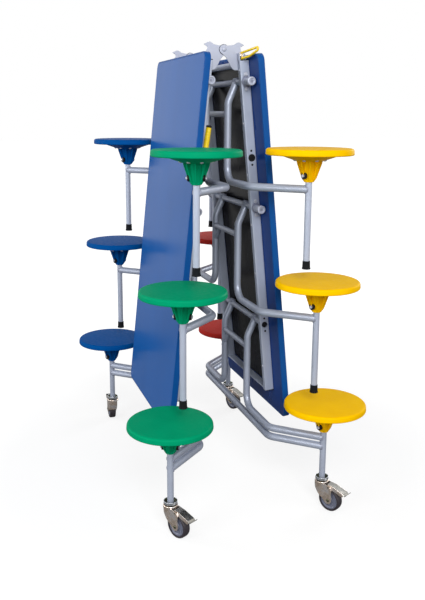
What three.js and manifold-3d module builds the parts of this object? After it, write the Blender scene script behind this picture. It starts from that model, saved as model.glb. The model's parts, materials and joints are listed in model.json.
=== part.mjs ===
// Mobile folding table with twelve stools, folded upright on its four casters.
// Lengths are in mm, angles in degrees. X runs along the table, Y across it, Z up from the floor.
// The right half is modelled, and the left half is the same pieces turned half round about Z.
import * as THREE from "three";
import { mergeVertices } from "three/addons/utils/BufferGeometryUtils.js";
import Module from "manifold-3d";

const wasm = await Module();
wasm.setup();

// Table leaves. Positions on a leaf: "along" from its centre end, "depth" in from its top surface.
const table_height = 740;
const leaf_length = 1495;
const leaf_width = 700;
const leaf_thickness = 25;
const leaf_corner_radius = 30;
const edge_band_thickness = 6;
const edge_band_rounding = 4;
const leaf_tilt = 5.8;

// Pivots of the three stool frames on a leaf
const stools_per_leaf = 3;
const first_pivot_along = 100;
const foot_above_next_seat = 50;
const pivot_depth = 45;
const outer_pivot_x = 183;

// Rails under a leaf
const rail_depth = 40;
const rail_width = 25;
const rail_rounding = 4;
const rail_outside_y = 252;
const rail_start_along = 20;
const rail_end_along = 1395;
const cross_tube_along = 33;
const end_bar_thickness = 6;
const spare_hole_along = 397;
const spare_hole_diameter = 28;
const bolt_hole_diameter = 7;
const bolt_hole_offset = 28;

// Stool frames, measured from their pivot: "out" away from the table's middle, "drop" down
const frame_tube_diameter = 30;
const slim_tube_diameter = 25;
const riser_in = 35;
const riser_y = 145;
const riser_kink_drop = 78;
const riser_bend_radius = 60;
const arm_corner_y = 405;
const arm_corner_radius = 52;
const lower_arm_drop = 38;
const cross_bar_drop = 125;
const brace_diameter = 20;
const brace_reach = 62;
const pivot_tube_end_y = 317;
const pivot_cap_diameter = 34;
const pivot_cap_length = 16;
const pivot_cap_rounding = 4;
const pivot_recess = 7;

// Stools
const seat_height = 450;
const seat_row_y = 560;
const stool_reach = 135;
const seat_diameter = 324;
const seat_thickness = 24;
const seat_top_rounding = 8;
const seat_rim_slope = 2;
const seat_flange_diameter = 236;
const seat_flange_height = 23;
const cup_top_diameter = 94;
const cup_foot_diameter = 55;
const cup_mouth_diameter = 36;
const cup_height = 76;
const cup_foot_rounding = 14;
const post_depth_in_cup = 62;
const arm_below_seat = 150;
const foot_height = 32;
const foot_top_diameter = 28.6;
const foot_base_diameter = 33;
const foot_floor_thickness = 8;

// Casters, measured from the swivel axis and up from the floor, trailing along +X
const wheel_diameter = 95;
const tyre_width = 30;
const tyre_depth = 9;
const tyre_rounding = 4;
const core_rim_width = 26;
const core_hub_diameter = 30;
const core_hub_width = 33;
const axle_diameter = 9;
const axle_overhang = 3;
const caster_trail = 44;
const fork_gap = 36;
const fork_plate = 3;
const fork_crown_diameter = 57;
const fork_crown_thickness = 8;
const fork_crown_rounding = 3;
const fork_front_rounding = 16;
const fork_outline = [
  [-28.5, 112],
  [28.5, 112],
  [52, 107],
  [60, 96],
  [57, 78],
  [59, 50],
  [54, 38],
  [45, 33],
  [35, 33],
  [2, 50],
  [-16, 66],
  [-27, 84],
  [-28.5, 96],
];
const ring_top_height = 134;
const ring_height = 15;
const ring_diameter = 53;
const ring_foot_diameter = 46;
const ring_wall = 2;
const ring_wall_foot = 4;
const ring_dish_depth = 9;
const ring_floor_thickness = 3;
const pedal_pin_diameter = 5;
const pedal_barrel_diameter = 10;
const pedal_pin_height = 102;
const pedal_pin_reach = 42;
const pedal_width = 34;
const pedal_skirt = 2;
const pedal_outline = [
  [42, 107],
  [48, 108],
  [61, 107],
  [108, 93],
  [113, 87],
  [118, 87],
  [128, 97],
  [126, 100],
  [116.5, 90.5],
  [114.5, 91],
  [111, 96],
  [108, 97],
  [61, 111],
  [38, 115],
  [32, 112],
  [33, 108],
];
const pedal_skirt_outline = [
  [42, 97],
  [54, 96],
  [66, 92],
  [104, 81],
  [109, 83],
  [109, 95],
  [61, 109],
  [40, 113],
  [36, 110],
];
const caster_turns = { near_left: -62, near_right: -60, far_left: 88, far_right: -70 };

// Centre joint, heights and reaches from its pin
const hinge_plate_thickness = 4;
const hinge_knuckle_diameter = 37;
const hinge_pin_diameter = 10;
const hinge_pin_head_diameter = 17;
const hinge_pin_head_height = 4;
const hinge_pin_depth = 114.4;
const hinge_pin_beyond_leaf = 28;
const hinge_pad = { from_x: 60, to_x: 90, from_z: -74, to_z: -42 };
const hinge_outline = [
  [0, 14.5],
  [27, 16],
  [42, 19],
  [50, 25],
  [57, 28],
  [65, 26.5],
  [83, 18],
  [75, 14],
  [67, 9],
  [68, 0],
  [76, -10],
  [90, -16],
  [93, -40],
  [93, -62],
  [82, -74],
  [60, -77],
  [51, -78],
  [43, -77],
  [35, -73],
  [27, -63],
  [17, -44],
  [8.5, -31],
];

// Handles: a loop that turns on a stud at the right leaf's near rail, and a lever in the left leaf's
// near rail, which turns in the spare hole
const loop_rod_diameter = 9;
const loop_height = 30;
const loop_hub_diameter = 27;
const loop_hub_length = 12;
const loop_reach = { x: 31, y: 100, z: 19 };
const loop_along = 2;
const loop_y = 242;
const stud_diameter = 7;
const stud_head_diameter = 11;
const stud_head_height = 3;
const lug_thickness = 4;
const lug_depth = 61;
const lug_width = 20;
const lug_from_along = -9;
const lug_to_along = 30;
const lever_rod_diameter = 12;
const lever_rod_bend_radius = 20;
const lever_flange_diameter = 40;
const lever_flange_thickness = 4;
const lever_length = 130;
const lever_y = 322;
const lever_splay = 3;
const grip_diameter = 22;
const grip_length = 104;
const grip_rounding = 3;

// Gaps and fineness
const part_gap = 0.3;
const merge_distance = 0.001;
const index_slack = 1e-9;
const tube_sides = 10;
const small_sides = 8;
const corner_fineness = 3;
const rail_fineness = 1;
const band_rounding_steps = 1;
const seat_sides = 24;
const wheel_sides = 16;
const crown_sides = 12;
const bolt_hole_sides = 6;
const bend_step = 30;
const cut_overrun = 5;
const weld_depth = 3;

// Derived positions
const radians = THREE.MathUtils.degToRad;
const tilt = radians(leaf_tilt);
const pivot_height = table_height - pivot_depth;
const stool_pitch = seat_height + foot_above_next_seat;
const outer_pivot_along = first_pivot_along + 2 * stool_pitch;
const rail_middle_y = rail_outside_y - rail_width / 2;
const rail_inside_y = rail_outside_y - rail_width;
const seat_below_pivot = pivot_height - seat_height;
const arm_drop = seat_below_pivot + arm_below_seat;
const ring_underside_height = ring_top_height - ring_height;
const post_foot_height = ring_underside_height + ring_floor_thickness;
const fork_top_height = ring_underside_height - part_gap;
const axle_height = wheel_diameter / 2;
const cup_mouth_drop = seat_below_pivot + seat_thickness + seat_flange_height + cup_height;
const post_top_drop = cup_mouth_drop - post_depth_in_cup;
const foot_base_drop = seat_below_pivot + seat_height;
const plate_outer_y = rail_inside_y - part_gap;
const hinge_pin = on_leaf(-hinge_pin_beyond_leaf, hinge_pin_depth, 0);

function on_leaf(along, depth, y) {
  const down = along - outer_pivot_along;
  const inward = depth - pivot_depth;
  return new THREE.Vector3(
    outer_pivot_x + down * Math.sin(tilt) - inward * Math.cos(tilt),
    y,
    pivot_height - down * Math.cos(tilt) - inward * Math.sin(tilt),
  );
}

// A leaf piece is drawn lying flat: X along the leaf from its centre end, Y across, Z up from its top.
// This stands it in the right leaf's place.
function leaf_place() {
  const along = new THREE.Vector3(Math.sin(tilt), 0, -Math.cos(tilt));
  const across = new THREE.Vector3(0, 1, 0);
  const outward = new THREE.Vector3(Math.cos(tilt), 0, Math.sin(tilt));
  return new THREE.Matrix4().makeBasis(along, across, outward).setPosition(on_leaf(0, 0, 0));
}

// Solids
function solid_of(geometry, matrix = new THREE.Matrix4()) {
  const loose = geometry.index ? geometry.toNonIndexed() : geometry;
  const bare = new THREE.BufferGeometry();
  bare.setAttribute("position", loose.getAttribute("position").clone());
  bare.applyMatrix4(matrix);
  const merged = mergeVertices(bare, merge_distance);
  const positions = merged.getAttribute("position");
  const corner = (index) => new THREE.Vector3().fromBufferAttribute(positions, index);
  const triangles = [];
  let volume = 0;
  for (let i = 0; i < merged.index.count; i += 3) {
    const [a, b, c] = [0, 1, 2].map((step) => merged.index.getX(i + step));
    if (a === b || b === c || c === a) continue;
    triangles.push([a, b, c]);
    volume += corner(a).dot(corner(b).cross(corner(c)));
  }
  const outward = volume > 0 ? triangles : triangles.map(([a, b, c]) => [a, c, b]);
  const triVerts = new Uint32Array(outward.flat());
  const vertProperties = new Float32Array(positions.array);
  return new wasm.Manifold(new wasm.Mesh({ numProp: 3, vertProperties, triVerts }));
}

function geometry_of(solid) {
  const mesh = solid.getMesh();
  const geometry = new THREE.BufferGeometry();
  geometry.setAttribute("position", new THREE.BufferAttribute(mesh.vertProperties, mesh.numProp));
  geometry.setIndex(new THREE.BufferAttribute(mesh.triVerts, 1));
  return geometry;
}

function union(solids) {
  return solids.reduce((sum, next) => sum.add(next));
}

function shift(x, y, z) {
  return new THREE.Matrix4().makeTranslation(x, y, z);
}

function box(x, y, z, wide, deep, high) {
  return solid_of(new THREE.BoxGeometry(wide, deep, high), shift(x, y, z));
}

// A round bar between two points
function bar(from, to, diameter, sides = tube_sides) {
  const way = to.clone().sub(from);
  const turn = new THREE.Quaternion().setFromUnitVectors(
    new THREE.Vector3(0, 1, 0),
    way.clone().normalize(),
  );
  const middle = from.clone().add(to).multiplyScalar(0.5);
  const matrix = new THREE.Matrix4().compose(middle, turn, new THREE.Vector3(1, 1, 1));
  return solid_of(new THREE.CylinderGeometry(diameter / 2, diameter / 2, way.length(), sides), matrix);
}

// The cut for a round hole whose flats clear a pin that turns in it
function bore(from, to, diameter, sides = tube_sides) {
  return bar(from, to, diameter / Math.cos(Math.PI / sides), sides);
}

// A bar or a hole across the part, from one y to another
function crosswise(make, x, z, from_y, to_y, diameter, sides) {
  return make(new THREE.Vector3(x, from_y, z), new THREE.Vector3(x, to_y, z), diameter, sides);
}

// A profile of [radius, height] pairs turned about the Z axis
function turned(profile, sides, matrix = new THREE.Matrix4()) {
  const points = profile.map(([radius, height]) => new THREE.Vector2(radius, height));
  const upright = new THREE.Matrix4().makeRotationX(Math.PI / 2);
  return solid_of(new THREE.LatheGeometry(points, sides), matrix.clone().multiply(upright));
}

// An outline extruded upwards from z = 0
function prism(shape, height, matrix = new THREE.Matrix4(), fineness = corner_fineness) {
  const settings = { depth: height, bevelEnabled: false, curveSegments: fineness };
  return solid_of(new THREE.ExtrudeGeometry(shape, settings), matrix);
}

function rounded_rectangle(from_x, to_x, half_width, radius) {
  const shape = new THREE.Shape();
  shape.moveTo(from_x + radius, -half_width);
  shape.lineTo(to_x - radius, -half_width);
  shape.absarc(to_x - radius, radius - half_width, radius, -Math.PI / 2, 0);
  shape.lineTo(to_x, half_width - radius);
  shape.absarc(to_x - radius, half_width - radius, radius, 0, Math.PI / 2);
  shape.lineTo(from_x + radius, half_width);
  shape.absarc(from_x + radius, half_width - radius, radius, Math.PI / 2, Math.PI);
  shape.lineTo(from_x, radius - half_width);
  shape.absarc(from_x + radius, radius - half_width, radius, Math.PI, 1.5 * Math.PI);
  return shape;
}

// A plate cut to an outline of [x, z] pairs, between two values of y
function upright_plate(points, low_y, high_y) {
  const shape = new THREE.Shape(points.map(([x, z]) => new THREE.Vector2(x, z)));
  const stand = new THREE.Matrix4().makeRotationX(Math.PI / 2);
  return prism(shape, high_y - low_y, shift(0, high_y, 0).multiply(stand));
}

// A path whose corners are rounded to the given radius, as a list of points
function rounded_path(corners, radius) {
  const points = [corners[0]];
  for (let i = 1; i < corners.length - 1; i += 1) {
    const into = corners[i].clone().sub(corners[i - 1]).normalize();
    const out = corners[i + 1].clone().sub(corners[i]).normalize();
    const angle = into.angleTo(out);
    const setback = radius * Math.tan(angle / 2);
    const start = corners[i].clone().addScaledVector(into, -setback);
    const side = out.clone().addScaledVector(into, -Math.cos(angle)).normalize();
    const steps = Math.max(1, Math.round(THREE.MathUtils.radToDeg(angle) / bend_step));
    for (let step = 0; step <= steps; step += 1) {
      const turned_by = (angle * step) / steps;
      points.push(
        start
          .clone()
          .addScaledVector(into, radius * Math.sin(turned_by))
          .addScaledVector(side, radius * (1 - Math.cos(turned_by))),
      );
    }
  }
  points.push(corners[corners.length - 1]);
  return points;
}

// A curve that passes straight from point to point, with a section at each of them
class PointPath extends THREE.Curve {
  constructor(points) {
    super();
    this.points = points;
  }
  getPoint(share) {
    const place = share * (this.points.length - 1);
    const index = Math.min(Math.floor(place + index_slack), this.points.length - 2);
    return this.points[index].clone().lerp(this.points[index + 1], place - index);
  }
  getPointAt(share) {
    return this.getPoint(share);
  }
  getSpacedPoints(count) {
    return Array.from({ length: count + 1 }, (_, i) => this.getPoint(i / count));
  }
  getTangentAt(share) {
    const index = Math.round(share * (this.points.length - 1));
    const before = this.points[Math.max(index - 1, 0)];
    const here = this.points[index];
    const after = this.points[Math.min(index + 1, this.points.length - 1)];
    const into = here.clone().sub(before).normalize();
    const out = after.clone().sub(here).normalize();
    return into.add(out).normalize();
  }
}

// A round tube along a path with rounded corners
function tube(corners, radius, diameter, sides = tube_sides) {
  const path = new PointPath(rounded_path(corners, radius));
  const section = new THREE.Shape();
  for (let i = 0; i < sides; i += 1) {
    const angle = (2 * Math.PI * (i + 0.5)) / sides;
    const x = (diameter / 2) * Math.cos(angle);
    const y = (diameter / 2) * Math.sin(angle);
    if (i === 0) section.moveTo(x, y);
    else section.lineTo(x, y);
  }
  const settings = { steps: path.points.length - 1, extrudePath: path, bevelEnabled: false };
  return solid_of(new THREE.ExtrudeGeometry(section, settings));
}

// Tabletop board and its edge band, lying flat with the top at z = 0
function leaf_outline(inset) {
  const half_width = leaf_width / 2 - inset;
  return rounded_rectangle(inset, leaf_length - inset, half_width, leaf_corner_radius - inset);
}

function tabletop() {
  return prism(leaf_outline(edge_band_thickness + part_gap), leaf_thickness, shift(0, 0, -leaf_thickness));
}

function edge_band() {
  const settings = {
    depth: leaf_thickness - 2 * edge_band_rounding,
    bevelEnabled: true,
    bevelThickness: edge_band_rounding,
    bevelSize: edge_band_rounding,
    bevelSegments: band_rounding_steps,
    curveSegments: corner_fineness,
  };
  const block = solid_of(
    new THREE.ExtrudeGeometry(leaf_outline(edge_band_rounding), settings),
    shift(0, 0, edge_band_rounding - leaf_thickness),
  );
  const opening = leaf_thickness + 2 * cut_overrun;
  const from = shift(0, 0, -leaf_thickness - cut_overrun);
  return block.subtract(prism(leaf_outline(edge_band_thickness), opening, from));
}

// Rails, cross tube, end bar and the stud of the release loop, lying flat
function leaf_frame(with_stud) {
  const top = -leaf_thickness - part_gap;
  const bottom = -leaf_thickness - rail_depth;
  const middle = (top + bottom) / 2;
  const section = rounded_rectangle(-top, -bottom, rail_width / 2, rail_rounding);
  const lay_along = new THREE.Matrix4().makeBasis(
    new THREE.Vector3(0, 0, -1),
    new THREE.Vector3(0, 1, 0),
    new THREE.Vector3(1, 0, 0),
  );
  const rails = [-1, 1].map((side) => {
    const place = shift(rail_start_along, side * rail_middle_y, 0).multiply(lay_along);
    return prism(section, rail_end_along - rail_start_along, place, rail_fineness);
  });
  const reach = rail_inside_y + weld_depth;
  const end_bar_middle = rail_end_along - end_bar_thickness / 2;
  let frame = union([
    ...rails,
    crosswise(bar, cross_tube_along, -pivot_depth, -reach, reach, slim_tube_diameter),
    box(end_bar_middle, 0, middle, end_bar_thickness, 2 * reach, rail_depth - 2 * rail_rounding),
  ]);
  const through = rail_outside_y + cut_overrun;
  const drill = (along, diameter, sides) => {
    frame = frame.subtract(crosswise(bore, along, -pivot_depth, -through, through, diameter, sides));
  };
  for (let stool = 0; stool < stools_per_leaf; stool += 1) {
    drill(first_pivot_along + stool * stool_pitch, slim_tube_diameter + 2 * part_gap, tube_sides);
  }
  drill(spare_hole_along, spare_hole_diameter, tube_sides);
  for (const along of [spare_hole_along, outer_pivot_along]) {
    for (const way of [-1, 1]) drill(along + way * bolt_hole_offset, bolt_hole_diameter, bolt_hole_sides);
  }
  return with_stud ? frame.add(loop_stud()) : frame;
}

// Lug at the end of the near rail with the stud on which the release loop turns, lying flat
function loop_stud() {
  const lug_length = lug_to_along - lug_from_along;
  const lug_middle = (lug_to_along + lug_from_along) / 2;
  const lug_z = -lug_depth - lug_thickness / 2;
  const neck = -lug_depth + loop_hub_length + 2 * part_gap;
  const stud = turned(
    [
      [0, lug_z],
      [stud_diameter / 2, lug_z],
      [stud_diameter / 2, neck],
      [stud_head_diameter / 2, neck],
      [stud_head_diameter / 2, neck + stud_head_height],
      [0, neck + stud_head_height],
    ],
    small_sides,
    shift(loop_along, -loop_y, 0),
  );
  return box(lug_middle, -loop_y, lug_z, lug_length, lug_width, lug_thickness).add(stud);
}

// Stool frames, with their pivot at the origin
function frame_point(out, y, drop) {
  return new THREE.Vector3(out, y, -drop);
}

function arm_corners(side, drop) {
  return [
    frame_point(-riser_in, side * arm_corner_y, drop),
    frame_point(stool_reach, side * seat_row_y, drop),
  ];
}

function frame_core(post_foot_drop, pivot_end_y) {
  const brace_from = frame_point(-riser_in, riser_y - brace_reach, cross_bar_drop);
  const brace_to = frame_point(-riser_in, riser_y, cross_bar_drop + brace_reach);
  const pieces = [
    crosswise(bar, 0, 0, -pivot_end_y, pivot_end_y, slim_tube_diameter),
    crosswise(bar, -riser_in, -cross_bar_drop, -riser_y, riser_y, slim_tube_diameter),
    bar(brace_from, brace_to, brace_diameter, small_sides),
  ];
  for (const side of [-1, 1]) {
    const corners = [
      frame_point(0, side * riser_y, 0),
      frame_point(-riser_in, side * riser_y, riser_kink_drop),
      frame_point(-riser_in, side * riser_y, arm_drop),
      ...arm_corners(side, arm_drop),
    ];
    pieces.push(tube(corners, riser_bend_radius, frame_tube_diameter));
    const post_foot = frame_point(stool_reach, side * seat_row_y, post_foot_drop);
    const post_top = frame_point(stool_reach, side * seat_row_y, post_top_drop);
    pieces.push(bar(post_foot, post_top, slim_tube_diameter));
  }
  return union(pieces);
}

function upper_frame() {
  const rim = pivot_cap_diameter / 2;
  const profile = [
    [0, -pivot_cap_length],
    [rim, -pivot_cap_length],
    [rim, -pivot_cap_rounding],
    [rim - pivot_cap_rounding, 0],
    [0, 0],
  ];
  const caps = [-1, 1].map((side) => {
    const lay = new THREE.Matrix4().makeRotationX((-side * Math.PI) / 2);
    return turned(profile, tube_sides, shift(0, side * pivot_tube_end_y, 0).multiply(lay));
  });
  const post_foot_drop = foot_base_drop - foot_floor_thickness - part_gap;
  return union([frame_core(post_foot_drop, pivot_tube_end_y - pivot_cap_length / 2), ...caps]);
}

function outer_frame() {
  const post_foot_drop = pivot_height - post_foot_height - part_gap;
  const low = arm_drop + lower_arm_drop;
  const corners = [...arm_corners(-1, low).reverse(), ...arm_corners(1, low)];
  const frame = frame_core(post_foot_drop, rail_outside_y - pivot_recess);
  return frame.add(tube(corners, arm_corner_radius, frame_tube_diameter));
}

// Seat with its cup, measured from the middle of its top
function seat() {
  const rim = seat_diameter / 2;
  const under = -seat_thickness;
  const cup_top = under - seat_flange_height;
  const mouth = cup_top - cup_height;
  const bore_radius = slim_tube_diameter / 2 + part_gap;
  const bore_top = mouth + post_depth_in_cup + part_gap;
  return turned(
    [
      [0, bore_top],
      [bore_radius, bore_top],
      [bore_radius, mouth],
      [cup_mouth_diameter / 2, mouth],
      [cup_foot_diameter / 2, mouth + cup_foot_rounding],
      [cup_top_diameter / 2, cup_top],
      [seat_flange_diameter / 2, under],
      [rim, under],
      [rim - seat_rim_slope, -seat_top_rounding],
      [rim - seat_rim_slope - seat_top_rounding, 0],
      [0, 0],
    ],
    seat_sides,
  );
}

// Rubber foot, measured up from its base
function foot() {
  const bore_radius = slim_tube_diameter / 2 + part_gap;
  return turned(
    [
      [0, 0],
      [foot_base_diameter / 2, 0],
      [foot_top_diameter / 2, foot_height],
      [bore_radius, foot_height],
      [bore_radius, foot_floor_thickness],
      [0, foot_floor_thickness],
    ],
    tube_sides,
  );
}

// Casters, with the swivel axis at the origin. The ring is a dish with a socket for the post's foot.
function swivel_ring() {
  const bore_radius = (slim_tube_diameter / 2 + part_gap) / Math.cos(Math.PI / crown_sides);
  const rim = ring_diameter / 2;
  const dish_floor = ring_top_height - ring_dish_depth;
  return turned(
    [
      [0, ring_underside_height],
      [ring_foot_diameter / 2, ring_underside_height],
      [rim, ring_underside_height + ring_wall_foot],
      [rim, ring_top_height],
      [rim - ring_wall, ring_top_height],
      [rim - ring_wall_foot, dish_floor],
      [bore_radius, dish_floor],
      [bore_radius, post_foot_height],
      [0, post_foot_height],
    ],
    crown_sides,
  );
}

// Crown, and a shell bent round the front of the wheel, cut to the outline of its cheeks
function fork() {
  const crown_foot = fork_top_height - fork_crown_thickness;
  const crown_radius = fork_crown_diameter / 2;
  const crown = turned(
    [
      [0, crown_foot],
      [crown_radius, crown_foot],
      [crown_radius, fork_top_height - fork_crown_rounding],
      [crown_radius - fork_crown_rounding, fork_top_height],
      [0, fork_top_height],
    ],
    crown_sides,
  );
  const inside = fork_gap / 2;
  const outside = inside + fork_plate;
  const axle_end = outside + axle_overhang;
  const front = -crown_radius;
  const back = fork_gap + pedal_pin_reach;
  const shell = (inset) => {
    const plan = rounded_rectangle(front + inset, back, outside - inset, fork_front_rounding - inset);
    return prism(plan, crown_foot + fork_crown_rounding);
  };
  const pressed = shell(0).subtract(shell(fork_plate));
  return union([
    crown,
    pressed.intersect(upright_plate(fork_outline, -outside, outside)),
    crosswise(bar, caster_trail, axle_height, -axle_end, axle_end, axle_diameter, small_sides),
    crosswise(bar, pedal_pin_reach, pedal_pin_height, -outside, outside, pedal_pin_diameter, small_sides),
  ]);
}

// A ring about the axle
function about_axle(profile) {
  const lay = new THREE.Matrix4().makeRotationX(Math.PI / 2);
  return turned(profile, wheel_sides, shift(caster_trail, 0, axle_height).multiply(lay));
}

function wheel_core() {
  const rim = wheel_diameter / 2 - tyre_depth - part_gap;
  const hole = (axle_diameter / 2 + part_gap) / Math.cos(Math.PI / wheel_sides);
  const hub = core_hub_diameter / 2;
  return about_axle([
    [hole, -core_hub_width / 2],
    [hub, -core_hub_width / 2],
    [hub, -core_rim_width / 2],
    [rim, -core_rim_width / 2],
    [rim, core_rim_width / 2],
    [hub, core_rim_width / 2],
    [hub, core_hub_width / 2],
    [hole, core_hub_width / 2],
    [hole, -core_hub_width / 2],
  ]);
}

function tyre() {
  const inner = wheel_diameter / 2 - tyre_depth;
  const outer = wheel_diameter / 2;
  const half = tyre_width / 2;
  return about_axle([
    [inner, -half],
    [outer - tyre_rounding, -half],
    [outer, -half + tyre_rounding],
    [outer, half - tyre_rounding],
    [outer - tyre_rounding, half],
    [inner, half],
    [inner, -half],
  ]);
}

// Brake pedal: a barrel on its pin, a bent plate out over the wheel with a lip at its end, and a skirt
// down each side
function brake_pedal() {
  const half = pedal_width / 2;
  const over = half + cut_overrun;
  const hole = pedal_pin_diameter + 2 * part_gap;
  return union([
    upright_plate(pedal_outline, -half, half),
    upright_plate(pedal_skirt_outline, -half, pedal_skirt - half),
    upright_plate(pedal_skirt_outline, half - pedal_skirt, half),
    crosswise(bar, pedal_pin_reach, pedal_pin_height, -half, half, pedal_barrel_diameter),
  ]).subtract(crosswise(bore, pedal_pin_reach, pedal_pin_height, -over, over, hole));
}

// Centre joint of the right leaf, measured from the centre pin in X and Z. The near plate lies on its
// rail. The far one leaves room for the left leaf's plate, and a pad packs it out to the rail.
function hinge_plate(low_y, high_y, pads) {
  const low = low_y - cut_overrun;
  const high = high_y + cut_overrun;
  const tube_at = on_leaf(cross_tube_along, pivot_depth, 0).sub(hinge_pin);
  const around_tube = slim_tube_diameter + 2 * part_gap;
  const around_pin = hinge_pin_diameter + 2 * part_gap;
  return union([
    upright_plate(hinge_outline, low_y, high_y),
    crosswise(bar, 0, 0, low_y, high_y, hinge_knuckle_diameter, wheel_sides),
    ...pads,
  ])
    .subtract(crosswise(bore, 0, 0, low, high, around_pin, tube_sides))
    .subtract(crosswise(bore, tube_at.x, tube_at.z, low, high, around_tube, tube_sides));
}

function near_hinge_plate() {
  return hinge_plate(-plate_outer_y, -plate_outer_y + hinge_plate_thickness, []);
}

function far_hinge_plate() {
  const { from_x, to_x, from_z, to_z } = hinge_pad;
  const high_y = plate_outer_y - hinge_plate_thickness - part_gap;
  const pad = box(
    (from_x + to_x) / 2,
    (high_y + plate_outer_y) / 2,
    (from_z + to_z) / 2,
    to_x - from_x,
    plate_outer_y - high_y,
    to_z - from_z,
  );
  return hinge_plate(high_y - hinge_plate_thickness, high_y, [pad]);
}

// The pin through the two near plates, measured like them
function centre_pin() {
  const low = -plate_outer_y - part_gap;
  const high = -plate_outer_y + 2 * hinge_plate_thickness + 2 * part_gap;
  const shank = hinge_pin_diameter / 2;
  const head = hinge_pin_head_diameter / 2;
  const lay = new THREE.Matrix4().makeRotationX(-Math.PI / 2);
  return turned(
    [
      [0, low - hinge_pin_head_height],
      [head, low - hinge_pin_head_height],
      [head, low],
      [shank, low],
      [shank, high],
      [head, high],
      [head, high + hinge_pin_head_height],
      [0, high + hinge_pin_head_height],
    ],
    tube_sides,
    lay,
  );
}

// Release loop: a hub on the stud and a rod bent to a loop, in the right leaf's place
function release_loop() {
  const hub_foot = lug_depth - part_gap;
  const hub_top = hub_foot - loop_hub_length;
  const hub_at = (depth) => on_leaf(loop_along, depth, -loop_y);
  const hub = bar(hub_at(hub_top), hub_at(hub_foot), loop_hub_diameter);
  const root = hub_at((hub_top + hub_foot) / 2);
  const tip = root.clone().add(new THREE.Vector3(loop_reach.x, -loop_reach.y, loop_reach.z));
  const apart = (loop_height - loop_rod_diameter) / 2;
  const up = new THREE.Vector3(0, 0, apart);
  const corners = [root.clone().add(up), tip.clone().add(up), tip.clone().sub(up), root.clone().sub(up)];
  const stud_hole = stud_diameter + 2 * part_gap;
  const hole = bore(
    hub_at(hub_top - cut_overrun),
    hub_at(hub_foot + cut_overrun),
    stud_hole,
    small_sides,
  );
  return union([hub, tube(corners, apart, loop_rod_diameter, small_sides)]).subtract(hole);
}

// Pull handle: a journal in the rail's spare hole, a flange, a bent rod and a grip. It is drawn for
// the right leaf's far rail, which is the left leaf's near rail turned half round.
function pull_handle() {
  const pivot = (y) => on_leaf(spare_hole_along, pivot_depth, y);
  const lean = radians(lever_splay);
  const reached = (length) =>
    on_leaf(
      spare_hole_along - length * Math.cos(lean),
      pivot_depth + length * Math.sin(lean),
      lever_y,
    );
  const flange_y = rail_outside_y + part_gap;
  const journal_diameter = spare_hole_diameter - 2 * part_gap;
  const grip_place = new THREE.Matrix4().compose(
    reached(lever_length),
    new THREE.Quaternion().setFromUnitVectors(
      new THREE.Vector3(0, 0, 1),
      reached(lever_length).sub(pivot(lever_y)).normalize(),
    ),
    new THREE.Vector3(1, 1, 1),
  );
  const grip = turned(
    [
      [0, -grip_length],
      [grip_diameter / 2, -grip_length],
      [grip_diameter / 2, -grip_rounding],
      [grip_diameter / 2 - grip_rounding, 0],
      [0, 0],
    ],
    tube_sides,
    grip_place,
  );
  const rod_end = reached(lever_length - grip_length / 2);
  return union([
    bar(pivot(rail_inside_y), pivot(flange_y + weld_depth), journal_diameter),
    bar(pivot(flange_y), pivot(flange_y + lever_flange_thickness), lever_flange_diameter),
    tube([pivot(rail_middle_y), pivot(lever_y), rod_end], lever_rod_bend_radius, lever_rod_diameter),
    grip,
  ]);
}

// Materials
function material(colour, roughness, metalness) {
  return new THREE.MeshStandardMaterial({ color: colour, roughness, metalness });
}

const laminate = material(0x4f7cb4, 0.25, 0);
const band_plastic = material(0x1f6fb8, 0.4, 0);
const frame_paint = material(0x8f95a8, 0.45, 0.3);
const plate_paint = material(0x9aa0b4, 0.45, 0.3);
const zinc = material(0xb9b08a, 0.4, 0.8);
const bright_steel = material(0xc4c8cf, 0.3, 0.9);
const black_rubber = material(0x17181a, 0.85, 0);
const tread_rubber = material(0x2b2c30, 0.8, 0);
const grey_plastic = material(0x8b8f96, 0.6, 0);
const yellow_plastic = material(0xf2c200, 0.5, 0);
const seat_plastics = {
  left_near: material(0x00996a, 0.45, 0),
  right_near: material(0xf0bd00, 0.45, 0),
  left_far: material(0x0a4f9e, 0.45, 0),
  right_far: material(0xb8382f, 0.45, 0),
};

// Assembly
const object = new THREE.Group();
const sides = { right: 0, left: Math.PI };
const rows = { near: -1, far: 1 };
const levels = ["inner", "mid", "outer"];

function add(name, geometry, look, place) {
  const mesh = new THREE.Mesh(geometry, look);
  mesh.name = name;
  mesh.applyMatrix4(place);
  object.add(mesh);
}

function turn(angle) {
  return new THREE.Matrix4().makeRotationZ(angle);
}

const tabletop_geometry = geometry_of(tabletop());
const edge_band_geometry = geometry_of(edge_band());
const leaf_frame_geometries = {
  right: geometry_of(leaf_frame(true)),
  left: geometry_of(leaf_frame(false)),
};
const near_plate_geometry = geometry_of(near_hinge_plate());
const far_plate_geometry = geometry_of(far_hinge_plate());
const pin_geometry = geometry_of(centre_pin());
const upper_frame_geometry = geometry_of(upper_frame());
const outer_frame_geometry = geometry_of(outer_frame());
const seat_geometry = geometry_of(seat());
const foot_geometry = geometry_of(foot());
const ring_geometry = geometry_of(swivel_ring());
const fork_geometry = geometry_of(fork());
const core_geometry = geometry_of(wheel_core());
const tyre_geometry = geometry_of(tyre());
const pedal_geometry = geometry_of(brake_pedal());

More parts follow.
